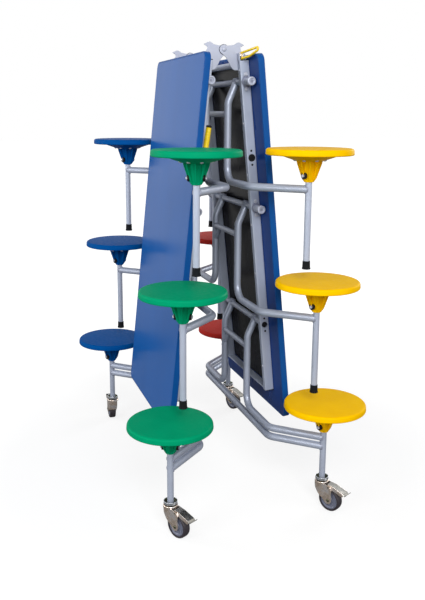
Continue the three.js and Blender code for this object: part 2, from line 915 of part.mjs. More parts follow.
for (const [side, half_turn] of Object.entries(sides)) {
  const placed = (matrix) => turn(half_turn).multiply(matrix);
  const at_pin = placed(shift(hinge_pin.x, 0, hinge_pin.z));
  // The half turn swaps near and far
  const [near, far] = side === "right" ? ["near", "far"] : ["far", "near"];
  add(`tabletop_${side}`, tabletop_geometry, laminate, placed(leaf_place()));
  add(`edge_band_${side}`, edge_band_geometry, band_plastic, placed(leaf_place()));
  add(`leaf_frame_${side}`, leaf_frame_geometries[side], frame_paint, placed(leaf_place()));
  add(`hinge_plate_${side}_${near}`, near_plate_geometry, plate_paint, at_pin);
  add(`hinge_plate_${side}_${far}`, far_plate_geometry, plate_paint, at_pin);
  add(`centre_pin_${near}`, pin_geometry, bright_steel, at_pin);

  levels.forEach((level, index) => {
    const pivot = on_leaf(first_pivot_along + index * stool_pitch, pivot_depth, 0);
    const is_outer = level === "outer";
    const frame_geometry = is_outer ? outer_frame_geometry : upper_frame_geometry;
    const frame_place = placed(shift(pivot.x, pivot.y, pivot.z));
    add(`stool_frame_${side}_${level}`, frame_geometry, frame_paint, frame_place);
    for (const [row, sign] of Object.entries(rows)) {
      const x = Math.cos(half_turn) * (pivot.x + stool_reach);
      const y = sign * seat_row_y;
      const seat_place = shift(x, y, pivot.z - seat_below_pivot).multiply(turn(half_turn));
      const foot_place = shift(x, y, pivot.z - foot_base_drop).multiply(turn(half_turn));
      add(`seat_${side}_${level}_${row}`, seat_geometry, seat_plastics[`${side}_${row}`], seat_place);
      if (!is_outer) {
        add(`foot_${side}_${level}_${row}`, foot_geometry, black_rubber, foot_place);
        continue;
      }
      const ring_place = shift(x, y, 0).multiply(turn(half_turn));
      const swivel = shift(x, y, 0).multiply(turn(radians(caster_turns[`${row}_${side}`])));
      add(`swivel_ring_${side}_${row}`, ring_geometry, bright_steel, ring_place);
      add(`caster_fork_${side}_${row}`, fork_geometry, zinc, swivel);
      add(`wheel_core_${side}_${row}`, core_geometry, grey_plastic, swivel);
      add(`tyre_${side}_${row}`, tyre_geometry, tread_rubber, swivel);
      add(`brake_pedal_${side}_${row}`, pedal_geometry, zinc, swivel);
    }
  });
}

add("release_loop", geometry_of(release_loop()), yellow_plastic, turn(sides.right));
add("pull_handle", geometry_of(pull_handle()), yellow_plastic, turn(sides.left));

export default object;
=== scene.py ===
import json
from math import asin, atan2, ceil, cos, pi, radians, sin, sqrt, tan

import bpy
import bmesh
from mathutils import Matrix, Vector


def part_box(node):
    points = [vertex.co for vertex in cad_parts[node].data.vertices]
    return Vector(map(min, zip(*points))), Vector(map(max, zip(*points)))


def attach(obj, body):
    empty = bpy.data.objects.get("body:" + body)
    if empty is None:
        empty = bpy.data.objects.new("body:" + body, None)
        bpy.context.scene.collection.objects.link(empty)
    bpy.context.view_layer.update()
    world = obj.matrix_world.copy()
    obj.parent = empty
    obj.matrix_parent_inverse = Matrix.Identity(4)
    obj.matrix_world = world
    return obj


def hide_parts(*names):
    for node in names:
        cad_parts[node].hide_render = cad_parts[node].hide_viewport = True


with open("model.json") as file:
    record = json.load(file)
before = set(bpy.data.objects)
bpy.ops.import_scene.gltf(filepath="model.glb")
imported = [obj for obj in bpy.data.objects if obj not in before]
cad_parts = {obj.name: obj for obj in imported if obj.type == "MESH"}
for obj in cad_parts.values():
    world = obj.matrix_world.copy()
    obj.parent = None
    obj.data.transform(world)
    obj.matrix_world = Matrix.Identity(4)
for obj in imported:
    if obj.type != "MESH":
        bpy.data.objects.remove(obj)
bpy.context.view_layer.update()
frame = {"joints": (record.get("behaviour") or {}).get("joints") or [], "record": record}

MM = 0.001
HALF_TURN = {"right": 0.0, "left": pi}
ROWS = {"near": -1, "far": 1}
SHARP_ANGLE = radians(38)
TINY = 0.001

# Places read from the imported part
joint_at = {joint["name"]: Vector(joint["pos_m"]) / MM for joint in frame["joints"]}
joint_axis = {joint["name"]: Vector(joint["axis"]) for joint in frame["joints"]}
mount_axis = {mount["name"]: Vector(mount["axis"]) for mount in frame["record"]["mounts"]}
TILT = asin(mount_axis["tabletop_face_right"].z)
PIVOTS = {
    "inner": joint_at["stool_right_inner_pivot"],
    "mid": joint_at["stool_right_mid_pivot"],
    "outer": joint_at["base_right_pivot"],
}
HINGE_PIN = Vector((0, 0, joint_at["centre_hinge"].z))
STOOL_PITCH = (PIVOTS["outer"] - PIVOTS["mid"]).length

# Leaves, with places along a leaf from its centre end and depths in from its top surface
LEAF_LENGTH = 1495
LEAF_WIDTH = 700
LEAF_THICKNESS = 25
LEAF_CORNER = 30
BAND_THICKNESS = 6
BAND_ROUNDING = 5
BOARD_GAP = 0.3
UNDERSIDE_RIM = 8
FIRST_PIVOT_ALONG = 100
PIVOT_DEPTH = 45
RAIL_DEPTH = 40
RAIL_WIDTH = 25
RAIL_WALL = 2
RAIL_ROUNDING = 4
RAIL_OUTSIDE_Y = 252
RAIL_START = 20
RAIL_END = 1395
RAIL_CAP = 4
RAIL_CAP_OUT = 1.5
CROSS_TUBE_ALONG = 33
END_BAR_THICKNESS = 6
SPARE_HOLE_ALONG = 397
SPARE_HOLE = 28
BOLT_HOLE = 7
BOLT_OFFSET = 28
HOLE_SHADE_LENGTH = 3.6
HOLE_SHADE_DEPTH = 3
FLANGE_THICKNESS = 3.5
FLANGE_WIDTH = 37
FLANGE_TIP = 9
COLLAR_RADIUS = 18
COLLAR_HEIGHT = 3
SLEEVE = 29
CAP = 34
CAP_LENGTH = 16
CAP_END_Y = 317
CAP_RECESS = 3
SCREW_PITCH = 205
FIRST_SCREW = 35

# Stool frames, with places out from their pivot and heights from it
TUBE = 30
SLIM_TUBE = 25
TUBE_WALL = 2
BRACE = 20
RISER_IN = 35
RISER_Y = 145
RISER_TOP = 13
KINK_DROP = 78
BEND = 60
ARM_CORNER_Y = 405
ARM_DROP = 395
LOWER_ARM_DROP = 433
LOWER_ARM_BEND = 52
CROSS_BAR_DROP = 125
BRACE_REACH = 62
OUTER_TUBE_END_Y = 245
OUTER_BORE_DEPTH = 40
REACH = 135
ROW_Y = 560
BEAD = 2.2
BRACE_BEAD = 1.8
END_DOME = 5
END_PLUG = 1.6
POST_GAP = 0.3

# Seats, with heights from the top face
SEAT_RADIUS = 162
SEAT_THICKNESS = 24
SEAT_SLOPE = 2
SEAT_ROUNDING = 9
SEAT_LIP = 12
SEAT_LIP_ROUNDING = 5
SEAT_HOLLOW = 8
FLANGE_RADIUS = 118
FLANGE_HEIGHT = 23
CUP_TOP_RADIUS = 47
CUP_HEIGHT = 76
CUP_FOOT_RADIUS = 27.5
CUP_MOUTH_RADIUS = 18
CUP_FOOT_ROUNDING = 14
CUP_GROOVE_DEPTH = 12
CUP_DEPTH_OVER_POST = 62
CUP_RIBS = 8
CUP_RIB_HALF = 3.4
SEAT_RIBS = 12
SEAT_SCREWS = 8
SCREW_CIRCLE = 60
CUP_BOLT_HEIGHT = 24
CUP_BOLT_RADIUS = 3.5
CUP_WASHER_RADIUS = 12.5
CUP_WASHER_OUT = 3
BOLT_TURN = radians(23)
BOLTS_AHEAD = (("right", "near"), ("left", "far"))
FOOT_HEIGHT = 32
FOOT_TOP_RADIUS = 14.3
FOOT_BASE_RADIUS = 16.5
FOOT_BASE_HEIGHT = 4.5
FOOT_FLOOR = 8

# Casters, trailing along +X from the swivel axis
WHEEL_RADIUS = 47.5
TYRE_HALF_WIDTH = 15
TYRE_DEPTH = 9
WHEEL_SPOKES = 10
TRAIL = 44
AXLE_RADIUS = 4.4
FORK_INSIDE_Y = 18
FORK_PLATE = 3
FORK_OUTSIDE_Y = FORK_INSIDE_Y + FORK_PLATE
FORK_FRONT_ROUNDING = 16
CROWN_RADIUS = 28.5
CROWN_TOP = 118.7
CROWN_FOOT = 110.7
RING_TOP = 134
RING_FOOT = 119
RING_RADIUS = 26.5
RING_WALL = 1.2
RING_FLOOR = 3
PEDAL_PIN = Vector((42, 0, 102))
PEDAL_PIN_RADIUS = 5
PEDAL_HALF_WIDTH = 17
PEDAL_SHEET = 2
PEDAL_RIBS = 6

# Centre joint, with places from its pin
PLATE_OUTER_Y = 226.7
PLATE_THICKNESS = 4
PLATE_GAP = 0.3
KNUCKLE_RADIUS = 18.5
PIN_RADIUS = 5

# Handles
LOOP_ROD = 9
LOOP_HEIGHT = 30
LOOP_REACH = Vector((31, -100, 19))
LOOP_ALONG = 2
LOOP_Y = -242
LOOP_DEPTH = 54.7
LOOP_HUB_RADIUS = 13.5
LOOP_HUB_HALF = 6
LOOP_STUD_RADIUS = 3.5
LEVER_ROD = 12
LEVER_LENGTH = 130
LEVER_Y = 322
LEVER_SPLAY = radians(3)
LEVER_STUB_RADIUS = 13.7
LEVER_COLLAR_RADIUS = 20
GRIP_LENGTH = 104
GRIP_RADIUS = 11
GRIP_RINGS = 9
GRIP_RING_PITCH = 10

# Fasteners: the radius and height of a head, and the thickness of its washer where it has one
RAIL_SCREW = (5.5, 3)
FLANGE_BOLT = (6, 4.5, 1.2)
CAP_BOLT = (6, 2)
SEAT_SCREW = (6.5, 3.4)
CUP_NUT = (6.4, 5)
AXLE_RIVET = (6.5, 3)
PEDAL_RIVET = (2.6, 0.8)
PLATE_RIVET = (6, 3)
PIN_HEAD = (8.5, 3.8)
LOOP_NUT = (6.5, 4, 1)


# A form adds up parts, each a form or a pair of lists: points in mm, and faces
class Form:
    def __init__(self, *parts):
        self.points = []
        self.faces = []
        for part in parts:
            self.add(part)

    def add(self, part, matrix=None):
        points, faces = (part.points, part.faces) if isinstance(part, Form) else part
        start = len(self.points)
        self.points += [matrix @ point if matrix else point.copy() for point in points]
        self.faces += [[start + index for index in face] for face in faces]
        return self


def shift(x, y, z):
    return Matrix.Translation((x, y, z))


def turn(angle, axis):
    return Matrix.Rotation(angle, 4, axis)


# A place with its Z turned to +Y or to -Y
def on_side(way, x, y, z):
    return shift(x, y, z) @ turn(-way * pi / 2, "X")


def spins(count, first=0.0):
    return [turn(2 * pi * (index + first) / count, "Z") for index in range(count)]


def facing(way):
    return way.to_track_quat("Z", "Y").to_matrix().to_4x4()


def circle(radius, sides=24):
    angles = [2 * pi * i / sides for i in range(sides)]
    return [Vector((radius * cos(angle), radius * sin(angle))) for angle in angles]


def raised(outline, height):
    return [Vector((point.x, point.y, height)) for point in outline]


# Corners rounded with arcs, in a plane or in space, in steps of so many degrees
def rounded(corners, radii, closed=False, step=9):
    corners = [Vector(corner) for corner in corners]
    points = []
    count = len(corners)
    for index, corner in enumerate(corners):
        radius = radii[index] if isinstance(radii, (list, tuple)) else radii
        before = corner - corners[index - 1]
        after = corners[(index + 1) % count] - corner
        into, out = before.normalized(), after.normalized()
        angle = into.angle(out, 0)
        if radius == 0 or angle < TINY or (not closed and index in (0, count - 1)):
            points.append(corner)
            continue
        setback = min(radius * tan(angle / 2), 0.49 * min(before.length, after.length))
        radius = setback / tan(angle / 2)
        side = (out - into * cos(angle)).normalized()
        steps = max(1, ceil(angle / radians(step)))
        for k in range(steps + 1):
            bend = angle * k / steps
            along = into * (radius * sin(bend) - setback)
            points.append(corner + along + side * (radius * (1 - cos(bend))))
    return points


# Rings of one size joined in a row, which ends in caps or closes on itself
def chained(rings, closed=False):
    size, count = len(rings[0]), len(rings)
    faces = []
    for i in range(count if closed else count - 1):
        a, b = i * size, ((i + 1) % count) * size
        for k in range(size):
            m = (k + 1) % size
            faces.append([a + k, a + m, b + m, b + k])
    if not closed:
        faces.append(list(reversed(range(size))))
        faces.append([(count - 1) * size + k for k in range(size)])
    return [point for ring in rings for point in ring], faces


# A profile of (radius, height) points turned about Z, where a point on the axis stays one point
def turned(profile, sides=48, closed=False):
    points, faces, rows = [], [], []
    for radius, height in profile:
        ring = circle(radius, sides) if radius > TINY else [Vector((0, 0))]
        rows.append([len(points) + i for i in range(len(ring))])
        points += raised(ring, height)
    for low, high in zip(rows, rows[1:] + (rows[:1] if closed else [])):
        for i in range(sides):
            j = (i + 1) % sides
            corners = low[i % len(low)], low[j % len(low)], high[j % len(high)], high[i % len(high)]
            face = list(dict.fromkeys(corners))
            if len(face) > 2:
                faces.append(face)
    return points, faces


def lathed(corners, radii, sides, closed=False, step=9):
    return turned(rounded(corners, radii, closed, step), sides, closed)


# A section carried along a path without twisting
def swept(path, section, closed=False):
    count = len(path)
    tangents = []
    for i, point in enumerate(path):
        if closed:
            tangent = path[(i + 1) % count] - path[i - 1]
        elif 0 < i < count - 1:
            tangent = (path[i + 1] - point).normalized() + (point - path[i - 1]).normalized()
        else:
            tangent = path[min(i + 1, count - 1)] - path[max(i - 1, 0)]
        tangents.append(tangent.normalized())
    side = tangents[0].orthogonal().normalized()
    rings = []
    for point, tangent in zip(path, tangents):
        side = (side - tangent * side.dot(tangent)).normalized()
        up = tangent.cross(side)
        rings.append([point + side * s.x + up * s.y for s in section])
    return chained(rings, closed)


def disc(radius, height, sides=24, edge=0.0):
    profile = [(radius, edge), (radius, height - edge)]
    if edge:
        profile = [(radius - edge, 0)] + profile + [(radius - edge, height)]
    return turned([(0, 0)] + profile + [(0, height)], sides)


def rod(start, end, radius, sides=24, edge=0.0):
    points, faces = disc(radius, (end - start).length, sides, edge)
    place = Matrix.Translation(start) @ facing(end - start)
    return [place @ point for point in points], faces


# A rod along Y that reaches as far to each side of its middle
def crossing(middle, half, radius, sides=24):
    reach = Vector((0, half, 0))
    return rod(middle - reach, middle + reach, radius, sides)


def inset(outline, distance):
    area = sum(a.x * b.y - b.x * a.y for a, b in zip(outline, outline[1:] + outline[:1]))
    sign = 1 if area > 0 else -1
    result = []
    for i, point in enumerate(outline):
        into = (point - outline[i - 1]).normalized()
        out = (outline[(i + 1) % len(outline)] - point).normalized()
        normals = Vector((-into.y, into.x)), Vector((-out.y, out.x))
        middle = (normals[0] + normals[1]) / max(1 + normals[0].dot(normals[1]), 0.3)
        result.append(point + middle * distance * sign)
    return result


# An outline of (x, y) extruded from one z to another, its edges eased
def prism(outline, low, high, edge=0.5):
    eased = inset(outline, edge)
    levels = [(eased, low), (outline, low + edge), (outline, high - edge), (eased, high)]
    return chained([raised(ring, z) for ring, z in levels])


# An outline of (x, z) pairs as an upright plate between two values of y
def upright(outline, low_y, high_y, edge=0.5):
    points, faces = prism(outline, low_y, high_y, edge)
    return [Vector((point.x, point.z, point.y)) for point in points], faces


def rectangle(from_x, to_x, half_y, radius, step=6):
    corners = [(from_x, -half_y), (to_x, -half_y), (to_x, half_y), (from_x, half_y)]
    return rounded(corners, radius, closed=True, step=step)


def block(x, y, z, wide, deep, high, edge=0.5):
    points, faces = prism(rectangle(-wide / 2, wide / 2, deep / 2, 0), -high / 2, high / 2, edge)
    return [point + Vector((x, y, z)) for point in points], faces


# The weld round a branch tube where it meets a main tube: the crossing line of the two, as a bead
def weld(centre, main_axis, main_radius, branch_way, branch_radius, bead=BEAD):
    main, way = main_axis.normalized(), branch_way.normalized()
    side = way.orthogonal().normalized()
    up = way.cross(side)
    path = []
    for around in circle(branch_radius, 28):
        q = side * around.x + up * around.y
        flat_q, flat_way = q - main * q.dot(main), way - main * way.dot(main)
        a, b, c = flat_way.dot(flat_way), flat_q.dot(flat_way), flat_q.dot(flat_q) - main_radius**2
        t = (-b + sqrt(max(b * b - a * c, 0))) / a
        path.append(centre + q + way * (t + bead / 4) + q * (bead / 4 / branch_radius))
    return swept(path, circle(bead, 8), closed=True)


def hex_head(radius, height, washer=0.0):
    head = Form(prism(circle(radius, 6), washer, washer + height, radius * 0.09))
    return head.add(disc(radius * 1.35, washer)) if washer else head


def domed_head(radius, height):
    angles = [k * pi / 12 for k in range(6)]
    arc = [(radius * cos(angle), height * sin(angle)) for angle in angles]
    return turned([(0, 0)] + arc + [(0, height)], 20)


# Materials
def srgb(red, green, blue):
    shares = [value / 255 for value in (red, green, blue)]
    return [share / 12.92 if share <= 0.04045 else ((share + 0.055) / 1.055) ** 2.4 for share in shares]


# A colour that noise makes a little darker and lighter
def tone(colour, change):
    stops = ((0.3, 1 - change), (0.7, 1 + change))
    return [(position, [min(channel * factor, 1) for channel in srgb(*colour)]) for position, factor in stops]


# Several colours at places of the noise
def patches(*stops):
    return [(position, srgb(*colour)) for position, *colour in stops]


def new_node(tree, kind, **values):
    made = tree.nodes.new("ShaderNode" + kind)
    for name, value in values.items():
        made.inputs[name.replace("_", " ")].default_value = value
    return made


MATERIALS = {}


# A Principled material whose colour, roughness and bump come from noise in the piece's own frame.
# Rough is low, high and the noise's scale, and each bump is a scale and a depth in metres.
def finish(name, colours, scale, rough, bumps=(), metallic=0.0, specular=0.5, stretch=(1, 1, 1)):
    made = bpy.data.materials.new(name)
    made.use_nodes = True
    tree = made.node_tree
    link = tree.links.new
    shader = tree.nodes["Principled BSDF"]
    shader.inputs["Metallic"].default_value = metallic
    shader.inputs["Specular IOR Level"].default_value = specular
    mapping = new_node(tree, "Mapping", Scale=stretch)
    link(new_node(tree, "TexCoord").outputs["Object"], mapping.inputs["Vector"])

    def noise(size, detail, socket):
        texture = new_node(tree, "TexNoise", Scale=size, Detail=detail)
        link(mapping.outputs["Vector"], texture.inputs["Vector"])
        link(texture.outputs["Fac"], socket)

    ramp = new_node(tree, "ValToRGB")
    elements = ramp.color_ramp.elements
    while len(elements) < len(colours):
        elements.new(0.5)
    for element, (position, colour) in zip(elements, colours):
        element.position = position
        element.color = (*colour, 1)
    noise(scale, 4, ramp.inputs["Fac"])
    link(ramp.outputs["Color"], shader.inputs["Base Color"])
    low, high, size = rough
    spread = new_node(tree, "MapRange", From_Min=0.35, From_Max=0.65, To_Min=low, To_Max=high)
    noise(size, 3, spread.inputs["Value"])
    link(spread.outputs["Result"], shader.inputs["Roughness"])
    target = shader
    for size, depth in reversed(bumps):
        bump = new_node(tree, "Bump", Distance=depth)
        noise(size, 2, bump.inputs["Height"])
        link(bump.outputs["Normal"], target.inputs["Normal"])
        target = bump
    MATERIALS[name] = made


ALONG_LEAF = (0.25, 1, 1)
PAINT_GRAIN = (420, 0.00012)
ZINC = patches((0.3, 192, 172, 156), (0.45, 216, 200, 186), (0.58, 226, 220, 218), (0.72, 190, 188, 192))
# A darker zinc: the caster bolts' own tone, and inside the swivel dish painted shade and a painted dark
# reflection in its hollow
DARK_ZINC_AND_SHADE = patches((0.35, 52, 58, 44), (0.65, 92, 92, 74))
# The pedal's top plate: a darker, greyer copy of the zinc, painted shade on its upward face
PEDAL_TOP_SHADE_ZINC = patches((0.3, 120, 122, 122), (0.6, 172, 170, 164))
finish("laminate_blue", tone((26, 92, 168), 0.04), 5, (0.23, 0.26, 12), specular=0.1, stretch=ALONG_LEAF)
# Painted shade: a darker copy of the laminate for the board's underside
finish("laminate_painted_shade", tone((14, 58, 128), 0.06), 5, (0.27, 0.31, 12), specular=0.08, stretch=ALONG_LEAF)
# Painted shade: a nearly black sheet for the shaded underside between the rails
finish("painted_shade_sheet", tone((16, 13, 16), 0.08), 5, (0.25, 0.28, 12), specular=0.06, stretch=ALONG_LEAF)
finish("edge_blue", tone((10, 76, 146), 0.05), 9, (0.32, 0.44, 50), [(500, 0.00006)], specular=0.12)
finish("powder_coat", tone((174, 182, 200), 0.04), 14, (0.34, 0.46, 70), [PAINT_GRAIN, (60, 0.0002)], 0.25)
finish("flange_coat", tone((132, 136, 156), 0.05), 18, (0.36, 0.48, 70), [PAINT_GRAIN], 0.25)
finish("plate_coat", tone((174, 179, 196), 0.04), 18, (0.4, 0.5, 70), [(420, 0.00014), (70, 0.0002)], 0.2)
finish("weld_coat", tone((150, 154, 172), 0.1), 120, (0.36, 0.5, 90), [(260, 0.0012)], 0.25)
finish("passivated_zinc", ZINC, 26, (0.2, 0.32, 55), [(240, 0.0001)], 0.95)
finish("dark_zinc_and_shade", DARK_ZINC_AND_SHADE, 40, (0.24, 0.38, 55), [(240, 0.0001)], 0.85)
finish("pedal_zinc_painted_shade", PEDAL_TOP_SHADE_ZINC, 40, (0.2, 0.34, 60), [(200, 0.0002)], 0.9)
finish("painted_rivet", tone((196, 198, 208), 0.05), 40, (0.3, 0.42, 80), [(300, 0.00008)], 0.4)
finish("bright_steel", tone((206, 210, 216), 0.05), 30, (0.12, 0.24, 80), [(160, 0.00008)], 1.0)
finish("foot_rubber", tone((20, 22, 26), 0.15), 60, (0.6, 0.78, 80), [(600, 0.0002)], specular=0.1)
finish("tread_rubber", tone((42, 36, 42), 0.15), 50, (0.5, 0.7, 60), [(500, 0.0002)])
finish("wheel_grey", tone((104, 108, 126), 0.06), 40, (0.36, 0.5, 60), [(500, 0.0001)])
finish("handle_yellow", tone((240, 205, 20), 0.08), 30, (0.25, 0.4, 60), [(300, 0.00008)])
finish("black_cap", tone((18, 18, 20), 0.2), 60, (0.4, 0.55, 60), [(500, 0.0001)], specular=0.2)
SEATS = {
    ("left", "near"): ("seat_green", (0, 150, 104)),
    ("right", "near"): ("seat_yellow", (255, 196, 0)),
    ("left", "far"): ("seat_blue", (0, 78, 148)),
    ("right", "far"): ("seat_red", (196, 52, 44)),
}
for name, colour in SEATS.values():
    finish(name, tone(colour, 0.05), 11, (0.4, 0.52, 60), [(900, 0.00008)], specular=0.02)


def new_mesh(name, part):
    form = Form(part)
    mesh = bpy.data.meshes.new(name)
    mesh.from_pydata(form.points, [], form.faces)
    work = bmesh.new()
    work.from_mesh(mesh)
    bmesh.ops.remove_doubles(work, verts=work.verts, dist=TINY)
    bmesh.ops.recalc_face_normals(work, faces=work.faces)
    work.to_mesh(mesh)
    work.free()
    return mesh


def new_object(name, data):
    made = bpy.data.objects.new(name, data)
    bpy.context.scene.collection.objects.link(made)
    return made


# A piece: its form becomes a mesh that rides on a body and may stand for CAD nodes
def piece(name, form, look, body, place=None, replaces=(), slot=None):
    mesh = new_mesh(name, form)
    mesh.transform(Matrix.Scale(MM, 4))
    mesh.shade_smooth()
    mesh.set_sharp_from_angle(angle=SHARP_ANGLE)
    mesh.materials.append(MATERIALS[look])
    made = new_object(name, mesh)
    if place is not None:
        matrix = place.copy()
        matrix.translation = place.translation * MM
        made.matrix_world = matrix
    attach(made, body)
    if replaces:
        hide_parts(*replaces)


# Holes drilled by a boolean cut, before the form becomes a piece
def drilled(form, cutters):
    base, tool = (new_object("cut", new_mesh("cut", source)) for source in (form, cutters))
    modifier = base.modifiers.new("holes", "BOOLEAN")
    modifier.operation = "DIFFERENCE"
    modifier.solver = "EXACT"
    modifier.object = tool
    evaluated = base.evaluated_get(bpy.context.evaluated_depsgraph_get())
    mesh = evaluated.to_mesh()
    faces = [list(face.vertices) for face in mesh.polygons]
    result = Form(([vertex.co for vertex in mesh.vertices], faces))
    evaluated.to_mesh_clear()
    for made in (base, tool):
        mesh = made.data
        bpy.data.objects.remove(made)
        bpy.data.meshes.remove(mesh)
    return result


def half_place(side, centre):
    return turn(HALF_TURN[side], "Z") @ Matrix.Translation(centre)


# A leaf piece is drawn lying flat, X along the leaf, Y across and Z up from its top; this stands it up
def leaf_place(side):
    along, across = Vector((sin(TILT), 0, -cos(TILT))), Vector((0, 1, 0))
    stand = Matrix((along, across, along.cross(across))).transposed().to_4x4()
    outer_pivot = shift(-FIRST_PIVOT_ALONG - 2 * STOOL_PITCH, 0, PIVOT_DEPTH)
    return half_place(side, PIVOTS["outer"]) @ stand @ outer_pivot


# A place on the right leaf in the part's frame
def on_leaf(along, depth, y):
    return leaf_place("right") @ Vector((along, y, -depth))


# Leaves: a flat sheet whose edge lies a rim's width in from the leaf's own
def sheet_form(rim, low, high, edge):
    outline = rectangle(rim, LEAF_LENGTH - rim, LEAF_WIDTH / 2 - rim, LEAF_CORNER - rim)
    return prism(outline, low, high, edge)


def band_form():
    outer = rectangle(0, LEAF_LENGTH, LEAF_WIDTH / 2, LEAF_CORNER)
    corners = [(BAND_THICKNESS, 0), (0, 0), (0, -LEAF_THICKNESS), (BAND_THICKNESS, -LEAF_THICKNESS)]
    section = rounded(corners, [0.6, BAND_ROUNDING, BAND_ROUNDING, 0.6], closed=True, step=15)
    return chained([raised(inset(outer, point.x), point.y) for point in section], closed=True)


# Holes filled with a black disc of painted shade: a spare one, and a pair of small ones beside it and the
# outer pivot
SPARE_HOLES = [(SPARE_HOLE_ALONG, SPARE_HOLE)] + [
    (middle + way * BOLT_OFFSET, BOLT_HOLE)
    for middle in (SPARE_HOLE_ALONG, FIRST_PIVOT_ALONG + 2 * STOOL_PITCH)
    for way in (-1, 1)
]


def rail_form():
    half_y, half_z = RAIL_WIDTH / 2, (RAIL_DEPTH - BOARD_GAP) / 2
    middle_z = -LEAF_THICKNESS - BOARD_GAP - half_z
    rings = []
    for wall, ends in ((0, (RAIL_START, RAIL_END)), (RAIL_WALL, (RAIL_END, RAIL_START))):
        loop = rectangle(wall - half_y, half_y - wall, half_z - wall, RAIL_ROUNDING - wall, 22.5)
        rings += [[Vector((x, point.x, middle_z + point.y)) for point in loop] for x in ends]
    holes = [(FIRST_PIVOT_ALONG + index * STOOL_PITCH, SLIM_TUBE + 2) for index in range(3)]
    cutters = Form()
    for along, diameter in holes + SPARE_HOLES:
        cutters.add(crossing(Vector((along, 0, -PIVOT_DEPTH)), RAIL_WIDTH, diameter / 2, 32))
    return drilled(chained(rings, closed=True), cutters)


# Diamond-shaped bearing flange on a rail's outer face, with its collar and two bolts
def bearing_forms(way):
    tip, side = BOLT_OFFSET + FLANGE_TIP, FLANGE_WIDTH / 2 + 3
    outline = rounded([(-tip, 0), (0, -side), (tip, 0), (0, side)], [9, 17, 9, 17], closed=True)
    stand = on_side(way, 0, way * RAIL_OUTSIDE_Y, -PIVOT_DEPTH)
    bore, top = SLIM_TUBE / 2, FLANGE_THICKNESS + COLLAR_HEIGHT
    collar = [(bore, 0), (COLLAR_RADIUS, 0), (COLLAR_RADIUS - 1, top), (bore, top)]
    plate, fixings = Form(), Form()
    plate.add(prism(outline, 0, FLANGE_THICKNESS, 0.8), stand)
    plate.add(turned(collar, 32, closed=True), stand)
    for offset in (-BOLT_OFFSET, BOLT_OFFSET):
        fixings.add(hex_head(*FLANGE_BOLT), stand @ shift(offset, 0, FLANGE_THICKNESS))
    return plate, fixings


def add_leaf(side):
    place = leaf_place(side)
    body = f"leaf_{side}"
    middle_y = RAIL_OUTSIDE_Y - RAIL_WIDTH / 2
    inside = RAIL_OUTSIDE_Y - RAIL_WIDTH
    middle_z = -LEAF_THICKNESS - RAIL_DEPTH / 2
    board = sheet_form(BAND_THICKNESS + BOARD_GAP, -LEAF_THICKNESS, 0, 0.3)
    piece(f"board_{side}", board, "laminate_blue", body, place, [f"tabletop_{side}"], "laminate")
    # Painted shade under the board: a darker blue sheet over its underside, and a nearly black one between
    # the rails
    sheet, lap, sheet_edge = BOARD_GAP / 2, 0.05, 0.02
    under = sheet_form(UNDERSIDE_RIM, -LEAF_THICKNESS - sheet, -LEAF_THICKNESS + lap, sheet_edge)
    piece(f"underside_{side}", under, "laminate_painted_shade", body, place, slot="laminate")
    # The nearly black sheet between the rails is painted shade, where the rails and the other leaf keep the
    # light off
    outline = rectangle(RAIL_START, RAIL_END - END_BAR_THICKNESS, inside, 0)
    top = -LEAF_THICKNESS - sheet + lap
    shade_sheet = prism(outline, -LEAF_THICKNESS - 2 * sheet, top, sheet_edge)
    piece(f"backing_{side}", shade_sheet, "painted_shade_sheet", body, place, slot="laminate")
    piece(f"band_{side}", band_form(), "edge_blue", body, place, [f"edge_band_{side}"], "edge_plastic")
    rail = rail_form()
    cross_tube = Vector((CROSS_TUBE_ALONG, 0, -PIVOT_DEPTH))
    bar_x, bar_high = RAIL_END - END_BAR_THICKNESS / 2, RAIL_DEPTH - 2 * RAIL_ROUNDING
    rails = Form(crossing(cross_tube, inside, SLIM_TUBE / 2, 32))
    rails.add(block(bar_x, 0, middle_z, END_BAR_THICKNESS, 2 * inside, bar_high, 1))
    caps, bolts, bearings, beads = Form(), Form(), Form(), Form()
    for way in (-1, 1):
        rail_y = way * middle_y
        rails.add(rail, shift(0, rail_y, 0))
        for x in (RAIL_START - RAIL_CAP_OUT, RAIL_END + RAIL_CAP_OUT):
            caps.add(block(x, rail_y, middle_z, RAIL_CAP, RAIL_WIDTH - 1, RAIL_DEPTH - 1.5, 1.2))
        # Black discs in the holes, painted shade inside them
        for along, hole in SPARE_HOLES:
            inner = Vector((along, way * (RAIL_OUTSIDE_Y - HOLE_SHADE_DEPTH), -PIVOT_DEPTH))
            caps.add(rod(inner, inner + Vector((0, way * HOLE_SHADE_LENGTH, 0)), hole / 2 + 1, 32, 0.4))
        for index in range(int((RAIL_END - RAIL_START) // SCREW_PITCH) + 1):
            along = RAIL_START + FIRST_SCREW + index * SCREW_PITCH
            under_rail = shift(along, rail_y, -LEAF_THICKNESS - RAIL_DEPTH) @ turn(pi, "X")
            bolts.add(domed_head(*RAIL_SCREW), under_rail)
        plate, fixings = bearing_forms(way)
        for along in (FIRST_PIVOT_ALONG, FIRST_PIVOT_ALONG + STOOL_PITCH):
            bearings.add(plate, shift(along, 0, 0))
            bolts.add(fixings, shift(along, 0, 0))
        ring = [cross_tube + Vector((at.x, way * inside, at.y)) for at in circle(SLIM_TUBE / 2, 28)]
        beads.add(swept(ring, circle(BEAD, 8), closed=True))
    piece(f"rails_{side}", rails, "powder_coat", body, place, [f"leaf_frame_{side}"], "frame_paint")
    piece(f"rail_caps_and_hole_shade_{side}", caps, "black_cap", body, place)
    piece(f"leaf_bolts_{side}", bolts, "painted_rivet", body, place, slot="pin_steel")
    piece(f"bearings_{side}", bearings, "flange_coat", body, place, slot="frame_paint")
    piece(f"rail_welds_{side}", beads, "weld_coat", body, place, slot="frame_paint")


# Stool frames, with the pivot at the origin
def below(out, y, drop):
    return Vector((out, y, -drop))


